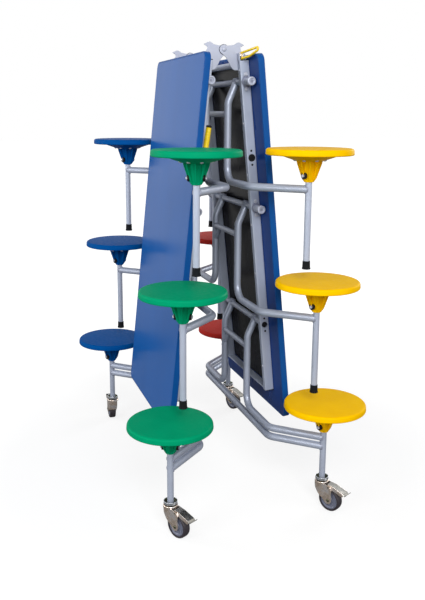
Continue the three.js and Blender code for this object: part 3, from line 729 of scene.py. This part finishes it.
def frame_forms(level, side):
    slim, thick = SLIM_TUBE / 2, TUBE / 2
    across, upward = Vector((0, 1, 0)), Vector((0, 0, 1))
    outer = level == "outer"
    tubes, beads = Form(), Form()
    if outer:
        bore, floor_y = slim - TUBE_WALL, OUTER_TUBE_END_Y - OUTER_BORE_DEPTH
        end = [(slim, OUTER_TUBE_END_Y), (bore, OUTER_TUBE_END_Y), (bore, floor_y), (0, floor_y)]
        profile = end + [(radius, -y) for radius, y in reversed(end)]
        tubes.add(turned(profile, 32, closed=True), turn(pi / 2, "X"))
        low_ends = ((REACH, -ROW_Y), (-RISER_IN, -ARM_CORNER_Y), (-RISER_IN, ARM_CORNER_Y), (REACH, ROW_Y))
        path = rounded([below(out, y, LOWER_ARM_DROP) for out, y in low_ends], LOWER_ARM_BEND, step=5)
        tubes.add(swept(path, circle(thick, 28)))
    else:
        tubes.add(crossing(Vector(), CAP_END_Y - CAP_LENGTH / 2, slim, 32))
    tubes.add(crossing(below(-RISER_IN, 0, CROSS_BAR_DROP), RISER_Y, slim, 32))
    brace_from = below(-RISER_IN, RISER_Y - BRACE_REACH, CROSS_BAR_DROP)
    brace_to = below(-RISER_IN, RISER_Y, CROSS_BAR_DROP + BRACE_REACH)
    tubes.add(rod(brace_from, brace_to, BRACE / 2, 28))
    beads.add(weld(brace_from, across, slim, brace_to - brace_from, BRACE / 2, BRACE_BEAD))
    beads.add(weld(brace_to, upward, thick, brace_from - brace_to, BRACE / 2, BRACE_BEAD))
    seat_drop = PIVOTS[level].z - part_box(f"seat_{side}_{level}_near")[1].z / MM
    post_top = seat_drop + SEAT_THICKNESS + FLANGE_HEIGHT + CUP_HEIGHT - CUP_DEPTH_OVER_POST
    post_foot = PIVOTS["outer"].z - (RING_FOOT + RING_FLOOR if outer else FOOT_FLOOR) - POST_GAP
    for way in (-1, 1):
        aside = Vector((0, way, 0))
        riser_y, row_y = way * RISER_Y, way * ROW_Y
        corners = [
            below(0, riser_y, -RISER_TOP),
            below(0, riser_y, 0),
            below(-RISER_IN, riser_y, KINK_DROP),
            below(-RISER_IN, riser_y, ARM_DROP),
            below(-RISER_IN, way * ARM_CORNER_Y, ARM_DROP),
            below(REACH, row_y, ARM_DROP),
        ]
        path = rounded(corners, [0, 20, BEND, BEND, BEND, 0], step=5)
        top_way = path[0] - path[1]
        tubes.add(swept(path, circle(thick, 28)))
        tubes.add(domed_head(thick, END_DOME), Matrix.Translation(path[0]) @ facing(top_way))
        tubes.add(rod(below(REACH, row_y, post_foot), below(REACH, row_y, post_top), slim, 32))
        for out in (aside, -aside):
            beads.add(weld(path[1], -top_way, thick, out, slim))
        beads.add(weld(below(-RISER_IN, riser_y, CROSS_BAR_DROP), upward, thick, -aside, slim))
        for drop in (ARM_DROP, LOWER_ARM_DROP) if outer else (ARM_DROP,):
            beads.add(weld(below(REACH, row_y, drop), upward, slim, corners[4] - corners[5], thick))
    return tubes, beads


def frame_body(side, level):
    return f"base_{side}" if level == "outer" else f"stool_{side}_{level}"


def add_frame(side, level):
    body = frame_body(side, level)
    key = f"{side}_{level}"
    place = half_place(side, PIVOTS[level])
    tubes, beads = frame_forms(level, side)
    piece(f"frame_{key}", tubes, "powder_coat", body, place, [f"stool_frame_{key}"], "frame_paint")
    piece(f"frame_welds_{key}", beads, "weld_coat", body, place, slot="frame_paint")
    if level == "outer":
        plugs = Form()
        for way in (-1, 1):
            end = Vector((0, way * OUTER_TUBE_END_Y, 0))
            cap = Vector((0, way * END_PLUG, 0))
            plugs.add(rod(end - 12 * cap, end, SLIM_TUBE / 2 - TUBE_WALL - 0.1, 32, 0.5))
            plugs.add(rod(end + 0.1 * cap, end + cap, SLIM_TUBE / 2 - 0.6, 32, 0.5))
        piece(f"pivot_plugs_{side}", plugs, "black_cap", body, place)
        return
    floor = CAP_LENGTH - CAP_RECESS
    corners = [(0, 0), (CAP / 2, 0), (CAP / 2, CAP_LENGTH), (10, CAP_LENGTH), (9, floor), (0, floor)]
    cap = lathed(corners, [0, 1.5, 4, 1.5, 1, 0], 40, step=15)
    cap_y = CAP_END_Y - CAP_LENGTH
    sleeve_y = RAIL_OUTSIDE_Y + FLANGE_THICKNESS + COLLAR_HEIGHT + 0.2
    sleeve = disc(SLEEVE / 2, cap_y - sleeve_y - 0.3, 32)
    caps, bolts = Form(), Form()
    for way in (-1, 1):
        caps.add(cap, on_side(way, 0, way * cap_y, 0))
        caps.add(sleeve, on_side(way, 0, way * sleeve_y, 0))
        bolts.add(hex_head(*CAP_BOLT), on_side(way, 0, way * (CAP_END_Y - CAP_RECESS), 0))
    piece(f"pivot_caps_{key}", caps, "plate_coat", body, place, slot="plate_paint")
    piece(f"pivot_bolts_{key}", bolts, "flange_coat", body, place, slot="plate_paint")


# Seats
def seat_forms():
    under = -SEAT_THICKNESS
    cup_top = under - FLANGE_HEIGHT
    mouth = cup_top - CUP_HEIGHT
    foot_top = mouth + CUP_FOOT_ROUNDING
    hollow = under + SEAT_HOLLOW
    bore, bore_end = SLIM_TUBE / 2 + POST_GAP, mouth + CUP_DEPTH_OVER_POST
    corners = [
        (0, 0), (SEAT_RADIUS - SEAT_SLOPE, 0), (SEAT_RADIUS, under), (SEAT_RADIUS - SEAT_LIP, under),
        (SEAT_RADIUS - SEAT_LIP - 1, hollow), (FLANGE_RADIUS + 6, hollow), (FLANGE_RADIUS, under + 1),
        (CUP_TOP_RADIUS, cup_top), (CUP_TOP_RADIUS - CUP_GROOVE_DEPTH, cup_top),
        (CUP_FOOT_RADIUS - CUP_GROOVE_DEPTH / 2, foot_top), (CUP_MOUTH_RADIUS, mouth),
        (bore, mouth), (bore, bore_end), (0, bore_end),
    ]
    radii = [0, SEAT_ROUNDING, SEAT_LIP_ROUNDING, 1, 3, 3, 3, 3, 4, 8, 1, 0.6, 0, 0]
    moulding = Form(lathed(corners, radii, 96, step=10))
    # Ribs stand out of the cup's core to its full cone, between the screws
    rib = rounded([
        (CUP_TOP_RADIUS - CUP_GROOVE_DEPTH - 4, cup_top + 3), (CUP_TOP_RADIUS + 1, cup_top + 3),
        (CUP_TOP_RADIUS - 1, cup_top - 8), (CUP_FOOT_RADIUS, foot_top), (CUP_MOUTH_RADIUS + 1, mouth + 2),
        (CUP_MOUTH_RADIUS - 3, mouth + 2),
    ], [0, 1, 12, 10, 2, 0], closed=True)
    for spin in spins(CUP_RIBS, 0.5):
        moulding.add(upright(rib, -CUP_RIB_HALF, CUP_RIB_HALF, 1.2), spin)
    middle = (FLANGE_RADIUS + SEAT_RADIUS) / 2 - 3
    for spin in spins(SEAT_RIBS):
        moulding.add(block(middle, 0, under + 5, SEAT_RADIUS - FLANGE_RADIUS - 14, 2.6, 7, 0.6), spin)
    # The bolt through cup and post, with a washer and a nut at each end
    height, wall = mouth + CUP_BOLT_HEIGHT, CUP_FOOT_RADIUS + 1.5
    ends = Vector((-wall - 9, 0, height)), Vector((wall + 8, 0, height))
    bolt, washers, screws = Form(rod(*ends, CUP_BOLT_RADIUS, 16, 0.8)), Form(), Form()
    for way in (-1, 1):
        stand = shift(way * wall, 0, height) @ turn(way * pi / 2, "Y")
        washers.add(disc(CUP_WASHER_RADIUS, CUP_WASHER_OUT + 6, 40, 1), stand @ shift(0, 0, -6))
        bolt.add(hex_head(*CUP_NUT), stand @ shift(0, 0, CUP_WASHER_OUT))
    slope = atan2(FLANGE_HEIGHT - 1, FLANGE_RADIUS - CUP_TOP_RADIUS)
    screw_z = under - 0.6 - (FLANGE_RADIUS - SCREW_CIRCLE) * tan(slope)
    stand = shift(SCREW_CIRCLE, 0, screw_z) @ turn(pi - slope, "Y")
    for spin in spins(SEAT_SCREWS):
        screws.add(domed_head(*SEAT_SCREW), spin @ stand)
    return moulding, screws, bolt, washers


def foot_form():
    bore = SLIM_TUBE / 2 + 0.2
    corners = [
        (0, 0), (FOOT_BASE_RADIUS, 0), (FOOT_BASE_RADIUS, FOOT_BASE_HEIGHT),
        (FOOT_BASE_RADIUS - 1.4, FOOT_BASE_HEIGHT + 2), (FOOT_TOP_RADIUS, FOOT_HEIGHT),
        (bore, FOOT_HEIGHT), (bore, FOOT_FLOOR), (0, FOOT_FLOOR),
    ]
    return lathed(corners, [0, 1.6, 1, 1, 1, 0.4, 0, 0], 40, step=15)


def add_seats():
    moulding, screws, bolt, washers = seat_forms()
    foot = foot_form()
    for side in HALF_TURN:
        for level in PIVOTS:
            for row in ROWS:
                key = f"{side}_{level}_{row}"
                low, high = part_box(f"seat_{key}")
                centre = Vector(((low.x + high.x) / 2, (low.y + high.y) / 2, high.z)) / MM
                body = frame_body(side, level)
                slot = SEATS[side, row][0]
                place = Matrix.Translation(centre)
                piece(f"stool_{key}", moulding, slot, body, place, [f"seat_{key}"], slot)
                piece(f"stool_screws_{key}", screws, "painted_rivet", body, place, slot="pin_steel")
                across = place @ turn(BOLT_TURN if (side, row) in BOLTS_AHEAD else -BOLT_TURN, "Z")
                piece(f"stool_bolt_{key}", bolt, "painted_rivet", body, across, slot="pin_steel")
                piece(f"stool_washers_{key}", washers, "black_cap", body, across)
                if level == "outer":
                    continue
                low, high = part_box(f"foot_{key}")
                place = shift(centre.x, centre.y, low.z / MM)
                piece(f"rubber_foot_{key}", foot, "foot_rubber", body, place, [f"foot_{key}"], "foot_rubber")


# Casters
def ring_forms():
    wall, bore = RING_RADIUS - RING_WALL, SLIM_TUBE / 2 + 0.2
    low, floor, shelf, top = RING_FOOT + 4, RING_FOOT + RING_FLOOR, RING_TOP - 9, RING_TOP - 0.6
    dish = [
        (0, RING_FOOT), (21, RING_FOOT), (wall, RING_FOOT + 5), (wall, top), (wall - 1, top),
        (wall - 4, shelf), (bore, shelf), (bore, floor), (0, floor),
    ]
    band = [(wall - 1, low), (RING_RADIUS, low), (RING_RADIUS, RING_TOP), (wall - 1, RING_TOP)]
    bowl = lathed(dish, [0, 2, 4, 0.5, 0.5, 3, 0, 0, 0], 56, step=12)
    rim = lathed(band, [0, 2, 1, 0.8], 56, closed=True, step=15)
    return bowl, rim


def fork_form():
    recess = CROWN_TOP - 1.5
    crown = [
        (0, CROWN_FOOT), (CROWN_RADIUS, CROWN_FOOT), (CROWN_RADIUS, CROWN_TOP), (22, CROWN_TOP),
        (21, recess), (0, recess),
    ]
    form = Form(lathed(crown, [0, 0.5, 3.5, 1, 0.5, 0], 56, step=12))
    # The wrapped front: bent sections whose front edge follows the fork's front line as it goes down
    front_line = [(-28.5, 112), (-28.5, 98), (-27, 86), (-22, 76), (-15.5, 66), (-8, 58), (-2, 53)]
    bends = [pi * (k / 14 - 0.5) for k in range(15)]
    sections = []
    for front, z in front_line:
        section = []
        for wall, angles in ((0, bends), (FORK_PLATE, reversed(bends))):
            for angle in angles:
                x = front + FORK_FRONT_ROUNDING - (FORK_FRONT_ROUNDING - wall) * cos(angle)
                section.append(Vector((x, (FORK_OUTSIDE_Y - wall) * sin(angle), z)))
        sections.append(section)
    form.add(chained(sections))
    cheek = [(front + FORK_FRONT_ROUNDING, z) for front, z in front_line]
    cheek += [(34, 33.5), (44, 31.5), (54, 35), (60, 48), (58.5, 64)]
    cheek += [(57, 78), (60, 95), (52, 107), (28.5, 112)]
    outline = rounded(cheek, [0, 0, 0, 0, 0, 0, 3, 8, 8, 8, 8, 12, 12, 8, 8, 0], closed=True)
    for low in (FORK_INSIDE_Y, -FORK_OUTSIDE_Y):
        form.add(upright(outline, low, low + FORK_PLATE))
    return form


def caster_fixings():
    axle = Vector((TRAIL, 0, WHEEL_RADIUS))
    form = Form(crossing(axle, FORK_OUTSIDE_Y, AXLE_RADIUS, 20))
    for way in (-1, 1):
        for pin, head in ((axle, AXLE_RIVET), (PEDAL_PIN, PEDAL_RIVET)):
            form.add(domed_head(*head), on_side(way, pin.x, way * FORK_OUTSIDE_Y, pin.z))
    return form


def wheel_forms():
    lay = shift(TRAIL, 0, WHEEL_RADIUS) @ turn(pi / 2, "X")
    rim, half = WHEEL_RADIUS - TYRE_DEPTH, TYRE_HALF_WIDTH
    shoulder, flank = half - 7, WHEEL_RADIUS - 1.5
    tyre = [(rim, -half), (flank, -half), (WHEEL_RADIUS, -shoulder)]
    tyre += [(WHEEL_RADIUS, shoulder), (flank, half), (rim, half)]
    wheel, tread = Form(), Form()
    tread.add(lathed(tyre, [0.5, 4, 8, 8, 4, 0.5], 72, closed=True, step=10), lay)
    rim -= 0.3
    face = [(4.8, 16.5), (12, 16.5), (14.5, 14), (16, 10.5), (rim - 9, 9.5), (rim - 5, 13), (rim, 13)]
    core = [(radius, -y) for radius, y in face] + face[::-1]
    wheel.add(lathed(core, 1.4, 64, closed=True, step=18), lay)
    for spin in spins(WHEEL_SPOKES):
        for way in (-1, 1):
            wheel.add(block((rim + 7) / 2, 0, way * 10.4, rim - 23, 2.4, 2.4), lay @ spin)
    return wheel, tread


def pedal_forms():
    half = PEDAL_HALF_WIDTH
    plate = [
        (36, 109.5), (61, 107.2), (108, 93.4), (113.5, 87.6), (118, 87.4), (127, 96.5), (125.4, 98.6),
        (117, 90.2), (115, 90.6), (109.6, 96.4), (61.5, 110.6), (38, 113.2), (33, 111), (33.5, 108.8),
    ]
    plate = rounded(plate, [1, 6, 3, 3, 3, 0.8, 0.8, 3, 3, 3, 6, 3, 2, 1], closed=True)
    pedal = Form(upright(plate, -half, half, 0.6))
    for index in range(PEDAL_RIBS):
        x = 68 + index * 6.5
        pedal.add(crossing(Vector((x, 0, 108.5 - (x - 61.5) * 0.295)), half - 4, 1.3, 10))
    skirt = [
        (43, 97.5), (54, 96.5), (66, 92.5), (104, 81.5), (109.5, 84),
        (109, 95), (61, 109.5), (40, 112.5), (36, 109),
    ]
    skirt = rounded(skirt, [2, 6, 6, 3, 2, 1, 4, 2, 2], closed=True)
    skirts = Form(crossing(PEDAL_PIN, half, PEDAL_PIN_RADIUS))
    for way in (-1, 1):
        skirts.add(upright(skirt, *sorted((way * half, way * (half - PEDAL_SHEET)))))
        fold = [(x, way * (half - 1.4), z) for x, z in ((40, 111.6), (61.3, 109.2), (108.5, 95.2))]
        skirts.add(swept(rounded(fold, 12), circle(1.7, 10)))
    return skirts, pedal


def add_casters():
    bowl, rim = ring_forms()
    skirts, pedal = pedal_forms()
    wheel, tread = wheel_forms()
    # Name, form, look, body, replaced node and slot
    pieces = (
        # The dish's inside takes the darker zinc as painted shade; its rim is bright steel
        ("dish", bowl, "dark_zinc_and_shade", "base", "swivel_ring", "pin_steel"),
        ("dish_rim", rim, "bright_steel", "base", None, "pin_steel"),
        ("fork", fork_form(), "passivated_zinc", "caster", "caster_fork", "zinc"),
        ("caster_bolts", caster_fixings(), "dark_zinc_and_shade", "caster", None, "zinc"),
        ("wheel", wheel, "wheel_grey", "wheel", "wheel_core", "wheel_plastic"),
        ("tread", tread, "tread_rubber", "wheel", "tyre", "tread"),
        # The pedal's top plate takes the darker zinc as painted shade; its folded sides keep the plain zinc
        ("pedal", pedal, "pedal_zinc_painted_shade", "pedal", "brake_pedal", "zinc"),
        ("pedal_skirts", skirts, "passivated_zinc", "pedal", None, "zinc"),
    )
    for side in HALF_TURN:
        for row in ROWS:
            key = f"{side}_{row}"
            axle = joint_axis[f"wheel_spin_{key}"]
            swivel = joint_at[f"swivel_{key}"]
            post = shift(swivel.x, swivel.y, 0)
            trailing = post @ turn(atan2(-axle.x, axle.y), "Z")
            for name, form, look, body, node, slot in pieces:
                fixed = body == "base"
                body = f"base_{side}" if fixed else f"{body}_{key}"
                nodes = [f"{node}_{key}"] if node else []
                piece(f"{name}_{key}", form, look, body, post if fixed else trailing, nodes, slot)


# Centre joint: a horned plate, its outline closed by the knuckle round the pin
def hinge_outline():
    corners = [
        (27, 16), (42, 19), (50, 25), (57, 28), (65, 26.5), (83, 18), (75, 14), (67, 9), (68, 0), (76, -10),
        (90, -16), (93, -40), (93, -62), (82, -74), (60, -77), (51, -78), (43, -77), (35, -73),
        (27, -63), (17, -44), (8.5, -31),
    ]
    radii = [30, 14, 10, 8, 8, 1.2, 8, 6, 8, 12, 10, 10, 10, 12, 10, 10, 10, 10, 14, 20, 10]
    start, end, steps = radians(251), radians(52), 28
    for k in range(steps + 1):
        angle = start + (end - start) * k / steps
        corners.append((KNUCKLE_RADIUS * cos(angle), KNUCKLE_RADIUS * sin(angle)))
        radii.append(0)
    return rounded(corners, radii, closed=True)


def add_hinges():
    outline = hinge_outline()
    for side in HALF_TURN:
        body = f"leaf_{side}"
        place = half_place(side, HINGE_PIN)
        for row, sign in ROWS.items():
            # The right leaf's near plate and the left leaf's far plate lie on their rails, the others inside
            outer_layer = (side == "right") == (row == "near")
            outer_y = PLATE_OUTER_Y - (0 if outer_layer else PLATE_THICKNESS + PLATE_GAP)
            # In the half's own frame the left side's near row is its far one
            own = sign if side == "right" else -sign
            inner_face = own * (outer_y - PLATE_THICKNESS)
            plate = Form(upright(outline, *sorted((own * outer_y, inner_face)), 0.7))
            if not outer_layer:
                middle = own * (outer_y + PLATE_OUTER_Y) / 2
                plate.add(block(75, middle, -58, 30, PLATE_OUTER_Y - outer_y, 32, 0.4))
            rivets = Form()
            for z in (-34, -62):
                rivets.add(domed_head(*PLATE_RIVET), on_side(-own, 72, inner_face, z))
            key = f"{side}_{row}"
            piece(f"hinge_{key}", plate, "plate_coat", body, place, [f"hinge_plate_{key}"], "plate_paint")
            piece(f"hinge_rivets_{key}", rivets, "painted_rivet", body, place, slot="pin_steel")
    place = Matrix.Translation(HINGE_PIN)
    low, high = PLATE_OUTER_Y - 2 * PLATE_THICKNESS - 0.9, PLATE_OUTER_Y + 0.3
    for row, sign in ROWS.items():
        pin = Form(rod(Vector((0, sign * low, 0)), Vector((0, sign * high, 0)), PIN_RADIUS))
        for way, y in ((sign, high), (-sign, low)):
            pin.add(domed_head(*PIN_HEAD), on_side(way, 0, sign * y, 0))
        piece(f"hinge_pin_{row}", pin, "plate_coat", "leaf_right", place, [f"centre_pin_{row}"], "pin_steel")
        # A thin black disc between the plates, a little wider than the knuckle: a painted shadow line where
        # the plates overlap
        middle = Vector((0, sign * (PLATE_OUTER_Y - PLATE_THICKNESS - PLATE_GAP / 2), 0))
        washer = crossing(middle, 0.12, KNUCKLE_RADIUS + 1.6, 48)
        piece(f"hinge_shadow_line_{row}", washer, "black_cap", "leaf_right", place)


# Handles
def add_release_loop():
    inner, outer = (on_leaf(LOOP_ALONG, LOOP_DEPTH + way * LOOP_HUB_HALF, LOOP_Y) for way in (-1, 1))
    hub = rod(inner, outer, LOOP_HUB_RADIUS, 40, 1.5)
    root = (inner + outer) / 2
    apart = Vector((0, 0, (LOOP_HEIGHT - LOOP_ROD) / 2))
    tip = root + LOOP_REACH
    belly = root + LOOP_REACH * 0.5 - apart * 1.3
    corners = [root + apart, tip + apart * 0.8, tip - apart * 0.3, belly, root - apart]
    loop = swept(rounded(corners, [0, 6, 9, 60, 0], step=12), circle(LOOP_ROD / 2, 20))
    piece("yellow_loop", loop, "handle_yellow", "release_loop", None, ["release_loop"], "handle_yellow")
    piece("loop_hub", hub, "passivated_zinc", "release_loop", None, slot="handle_yellow")
    way = (inner - outer).normalized()
    stud = Form(rod(outer, inner + way * 2, LOOP_STUD_RADIUS, 20))
    stud.add(hex_head(*LOOP_NUT), Matrix.Translation(inner + way * 0.6) @ facing(way))
    lug = block(10.5, LOOP_Y, -63, 39, 20, 4, 0.6)
    piece("loop_lug", lug, "powder_coat", "leaf_right", leaf_place("right"), slot="frame_paint")
    piece("loop_stud", stud, "bright_steel", "leaf_right", None, slot="pin_steel")


def lever_pivot(y):
    return on_leaf(SPARE_HOLE_ALONG, PIVOT_DEPTH, y)


def lever_at(length):
    along = SPARE_HOLE_ALONG - length * cos(LEVER_SPLAY)
    return on_leaf(along, PIVOT_DEPTH + length * sin(LEVER_SPLAY), LEVER_Y)


def add_pull_handle():
    face = RAIL_OUTSIDE_Y + 0.3
    stub = rod(lever_pivot(face - RAIL_WIDTH), lever_pivot(face + 3), LEVER_STUB_RADIUS, 32)
    collar = rod(lever_pivot(face), lever_pivot(face + 4), LEVER_COLLAR_RADIUS, 48, 1)
    corners = [lever_pivot(face), lever_pivot(LEVER_Y), lever_at(LEVER_LENGTH - GRIP_LENGTH / 2)]
    lever = Form(stub, collar, swept(rounded(corners, 20, step=7), circle(LEVER_ROD / 2)))
    tip, root = lever_at(LEVER_LENGTH), lever_at(LEVER_LENGTH - GRIP_LENGTH)
    axis = (tip - root).normalized()
    lever.add(rod(root, tip - axis * 8, GRIP_RADIUS - 0.5, 32, 2))
    for index in range(GRIP_RINGS):
        start = root + axis * (8 + index * GRIP_RING_PITCH)
        lever.add(rod(start, start + axis * 6, GRIP_RADIUS, 32, 1.5))
    cap = rod(tip - axis * 9, tip, GRIP_RADIUS, 32, 3)
    place = turn(HALF_TURN["left"], "Z")
    piece("yellow_lever", lever, "handle_yellow", "pull_handle", place, ["pull_handle"], "handle_yellow")
    piece("lever_cap", cap, "black_cap", "pull_handle", place)


# Stage, lights and camera, in metres
FLOOR_HALF = 40
FLOOR_WHITE = (0.9, 0.9, 0.9, 1)
FLOOR_THROWN = (0.22, 0.22, 0.22, 1)
FLOOR_GLOW_SHARE = 0.72
# Near and far reach of the floor's glow and its strength there, as the camera and as mirrors see it.
# In reflections the floor is dim close by, as under a real object, and white far out.
SEEN_GLOW = (0.9, 2.6, 1.08, 1.42)
MIRRORED_GLOW = (1.5, 9, 0.1, 1)
AMBIENT = 0.24
AMBIENT_COLOUR = (0.97, 0.98, 1, 1)
# Square lamps: their place, the height of the point each looks at, and their power
LAMP_SIZE = 2.4
LAMPS = {
    "key": ((-0.9, -4.7, 3.3), 1.1, 190),
    "side": ((-5.0, -2.4, 2.4), 1.1, 110),
    "fill": ((3.8, -4.2, 2.0), 1.0, 45),
    "back": ((-5.0, 2.8, 2.4), 1.0, 100),
    "far_side": ((5.2, 2.6, 2.4), 1.0, 110),
}
# The camera fitted to the photo: yaw, pitch and roll in degrees, lens and centre in the photo's pixels
CAMERA_PLACE = (-1.00116, -3.05127, 1.56582)
CAMERA_TURNS = (18.489, 11.916, 0.300)
PHOTO_WIDE, PHOTO_HIGH = 425, 600
PHOTO_LENS = 744.196
PHOTO_CENTRE = Vector((209.259, 270.876))


# Whether a ray is one the camera sees, straight, mirrored or through something clear
def seen_ray(tree, path):
    total = path.outputs["Is Camera Ray"]
    for kind in ("Is Glossy Ray", "Is Transmission Ray"):
        larger = new_node(tree, "Math")
        larger.operation = "MAXIMUM"
        tree.links.new(total, larger.inputs[0])
        tree.links.new(path.outputs[kind], larger.inputs[1])
        total = larger.outputs[0]
    return total


def mix_shaders(tree, output, share, first, second):
    mix = new_node(tree, "MixShader")
    tree.links.new(share, mix.inputs["Fac"])
    tree.links.new(first.outputs[0], mix.inputs[1])
    tree.links.new(second.outputs[0], mix.inputs[2])
    tree.links.new(mix.outputs[0], new_node(tree, output).inputs["Surface"])


def add_stage():
    corners = rectangle(-FLOOR_HALF, FLOOR_HALF, FLOOR_HALF, 0)
    mesh = new_mesh("floor", (raised(corners, 0), [(0, 1, 2, 3)]))
    floor = new_object("floor", mesh)
    look = bpy.data.materials.new("floor_white")
    look.use_nodes = True
    tree = look.node_tree
    link = tree.links.new
    tree.nodes.clear()
    path = new_node(tree, "LightPath")
    # The floor looks white, and throws only a little light up at the object
    matt = new_node(tree, "BsdfDiffuse")
    bounce = new_node(tree, "Mix")
    bounce.data_type = "RGBA"
    bounce.inputs["A"].default_value = FLOOR_WHITE
    bounce.inputs["B"].default_value = FLOOR_THROWN
    link(path.outputs["Is Diffuse Ray"], bounce.inputs["Factor"])
    link(bounce.outputs["Result"], matt.inputs["Color"])
    # Its glow grows outwards from the object, so that it stays white where the lamps fall off
    glow = new_node(tree, "Emission")
    distance = new_node(tree, "VectorMath")
    distance.operation = "LENGTH"
    link(new_node(tree, "TexCoord").outputs["Object"], distance.inputs[0])
    strength = new_node(tree, "Mix")
    for socket, (near, far, low, high) in (("A", SEEN_GLOW), ("B", MIRRORED_GLOW)):
        grown = new_node(tree, "MapRange", From_Min=near, From_Max=far, To_Min=low, To_Max=high)
        link(distance.outputs["Value"], grown.inputs["Value"])
        link(grown.outputs["Result"], strength.inputs[socket])
    link(path.outputs["Is Glossy Ray"], strength.inputs["Factor"])
    link(strength.outputs["Result"], glow.inputs["Strength"])
    share = new_node(tree, "Math")
    share.operation = "MULTIPLY"
    share.inputs[1].default_value = FLOOR_GLOW_SHARE
    link(seen_ray(tree, path), share.inputs[0])
    mix_shaders(tree, "OutputMaterial", share.outputs[0], matt, glow)
    mesh.materials.append(look)


def add_light():
    world = bpy.data.worlds.new("studio")
    bpy.context.scene.world = world
    world.use_nodes = True
    tree = world.node_tree
    tree.nodes.clear()
    ambient = new_node(tree, "Background", Color=AMBIENT_COLOUR, Strength=AMBIENT)
    white = new_node(tree, "Background", Color=(1, 1, 1, 1))
    seen = seen_ray(tree, new_node(tree, "LightPath"))
    mix_shaders(tree, "OutputWorld", seen, ambient, white)
    for name, (place, target_z, power) in LAMPS.items():
        data = bpy.data.lights.new(name, "AREA")
        data.shape = "SQUARE"
        data.size = LAMP_SIZE
        data.energy = power
        lamp = new_object(name, data)
        lamp.location = place
        lamp.rotation_euler = (Vector((0, 0, target_z)) - Vector(place)).to_track_quat("-Z", "Y").to_euler()


def add_camera():
    yaw, pitch, roll = (radians(angle) for angle in CAMERA_TURNS)
    ahead = Vector((sin(yaw) * cos(pitch), cos(yaw) * cos(pitch), -sin(pitch)))
    level = Vector((cos(yaw), -sin(yaw), 0))
    top = level.cross(ahead)
    right = level * cos(roll) + top * sin(roll)
    up = top * cos(roll) - level * sin(roll)
    data = bpy.data.cameras.new("camera")
    data.sensor_width = 36
    data.lens = data.sensor_width * PHOTO_LENS / PHOTO_HIGH
    data.shift_x = (PHOTO_WIDE / 2 - PHOTO_CENTRE.x) / PHOTO_HIGH
    data.shift_y = (PHOTO_CENTRE.y - PHOTO_HIGH / 2) / PHOTO_HIGH
    data.clip_end = 200
    camera = new_object("camera", data)
    camera.matrix_world = Matrix((right, up, -ahead)).transposed().to_4x4()
    camera.location = CAMERA_PLACE
    bpy.context.scene.camera = camera


add_stage()
add_light()
add_camera()
for side in HALF_TURN:
    add_leaf(side)
    for level in PIVOTS:
        add_frame(side, level)
add_seats()
add_casters()
add_hinges()
add_release_loop()
add_pull_handle()
bpy.context.scene.view_settings.view_transform = "Standard"
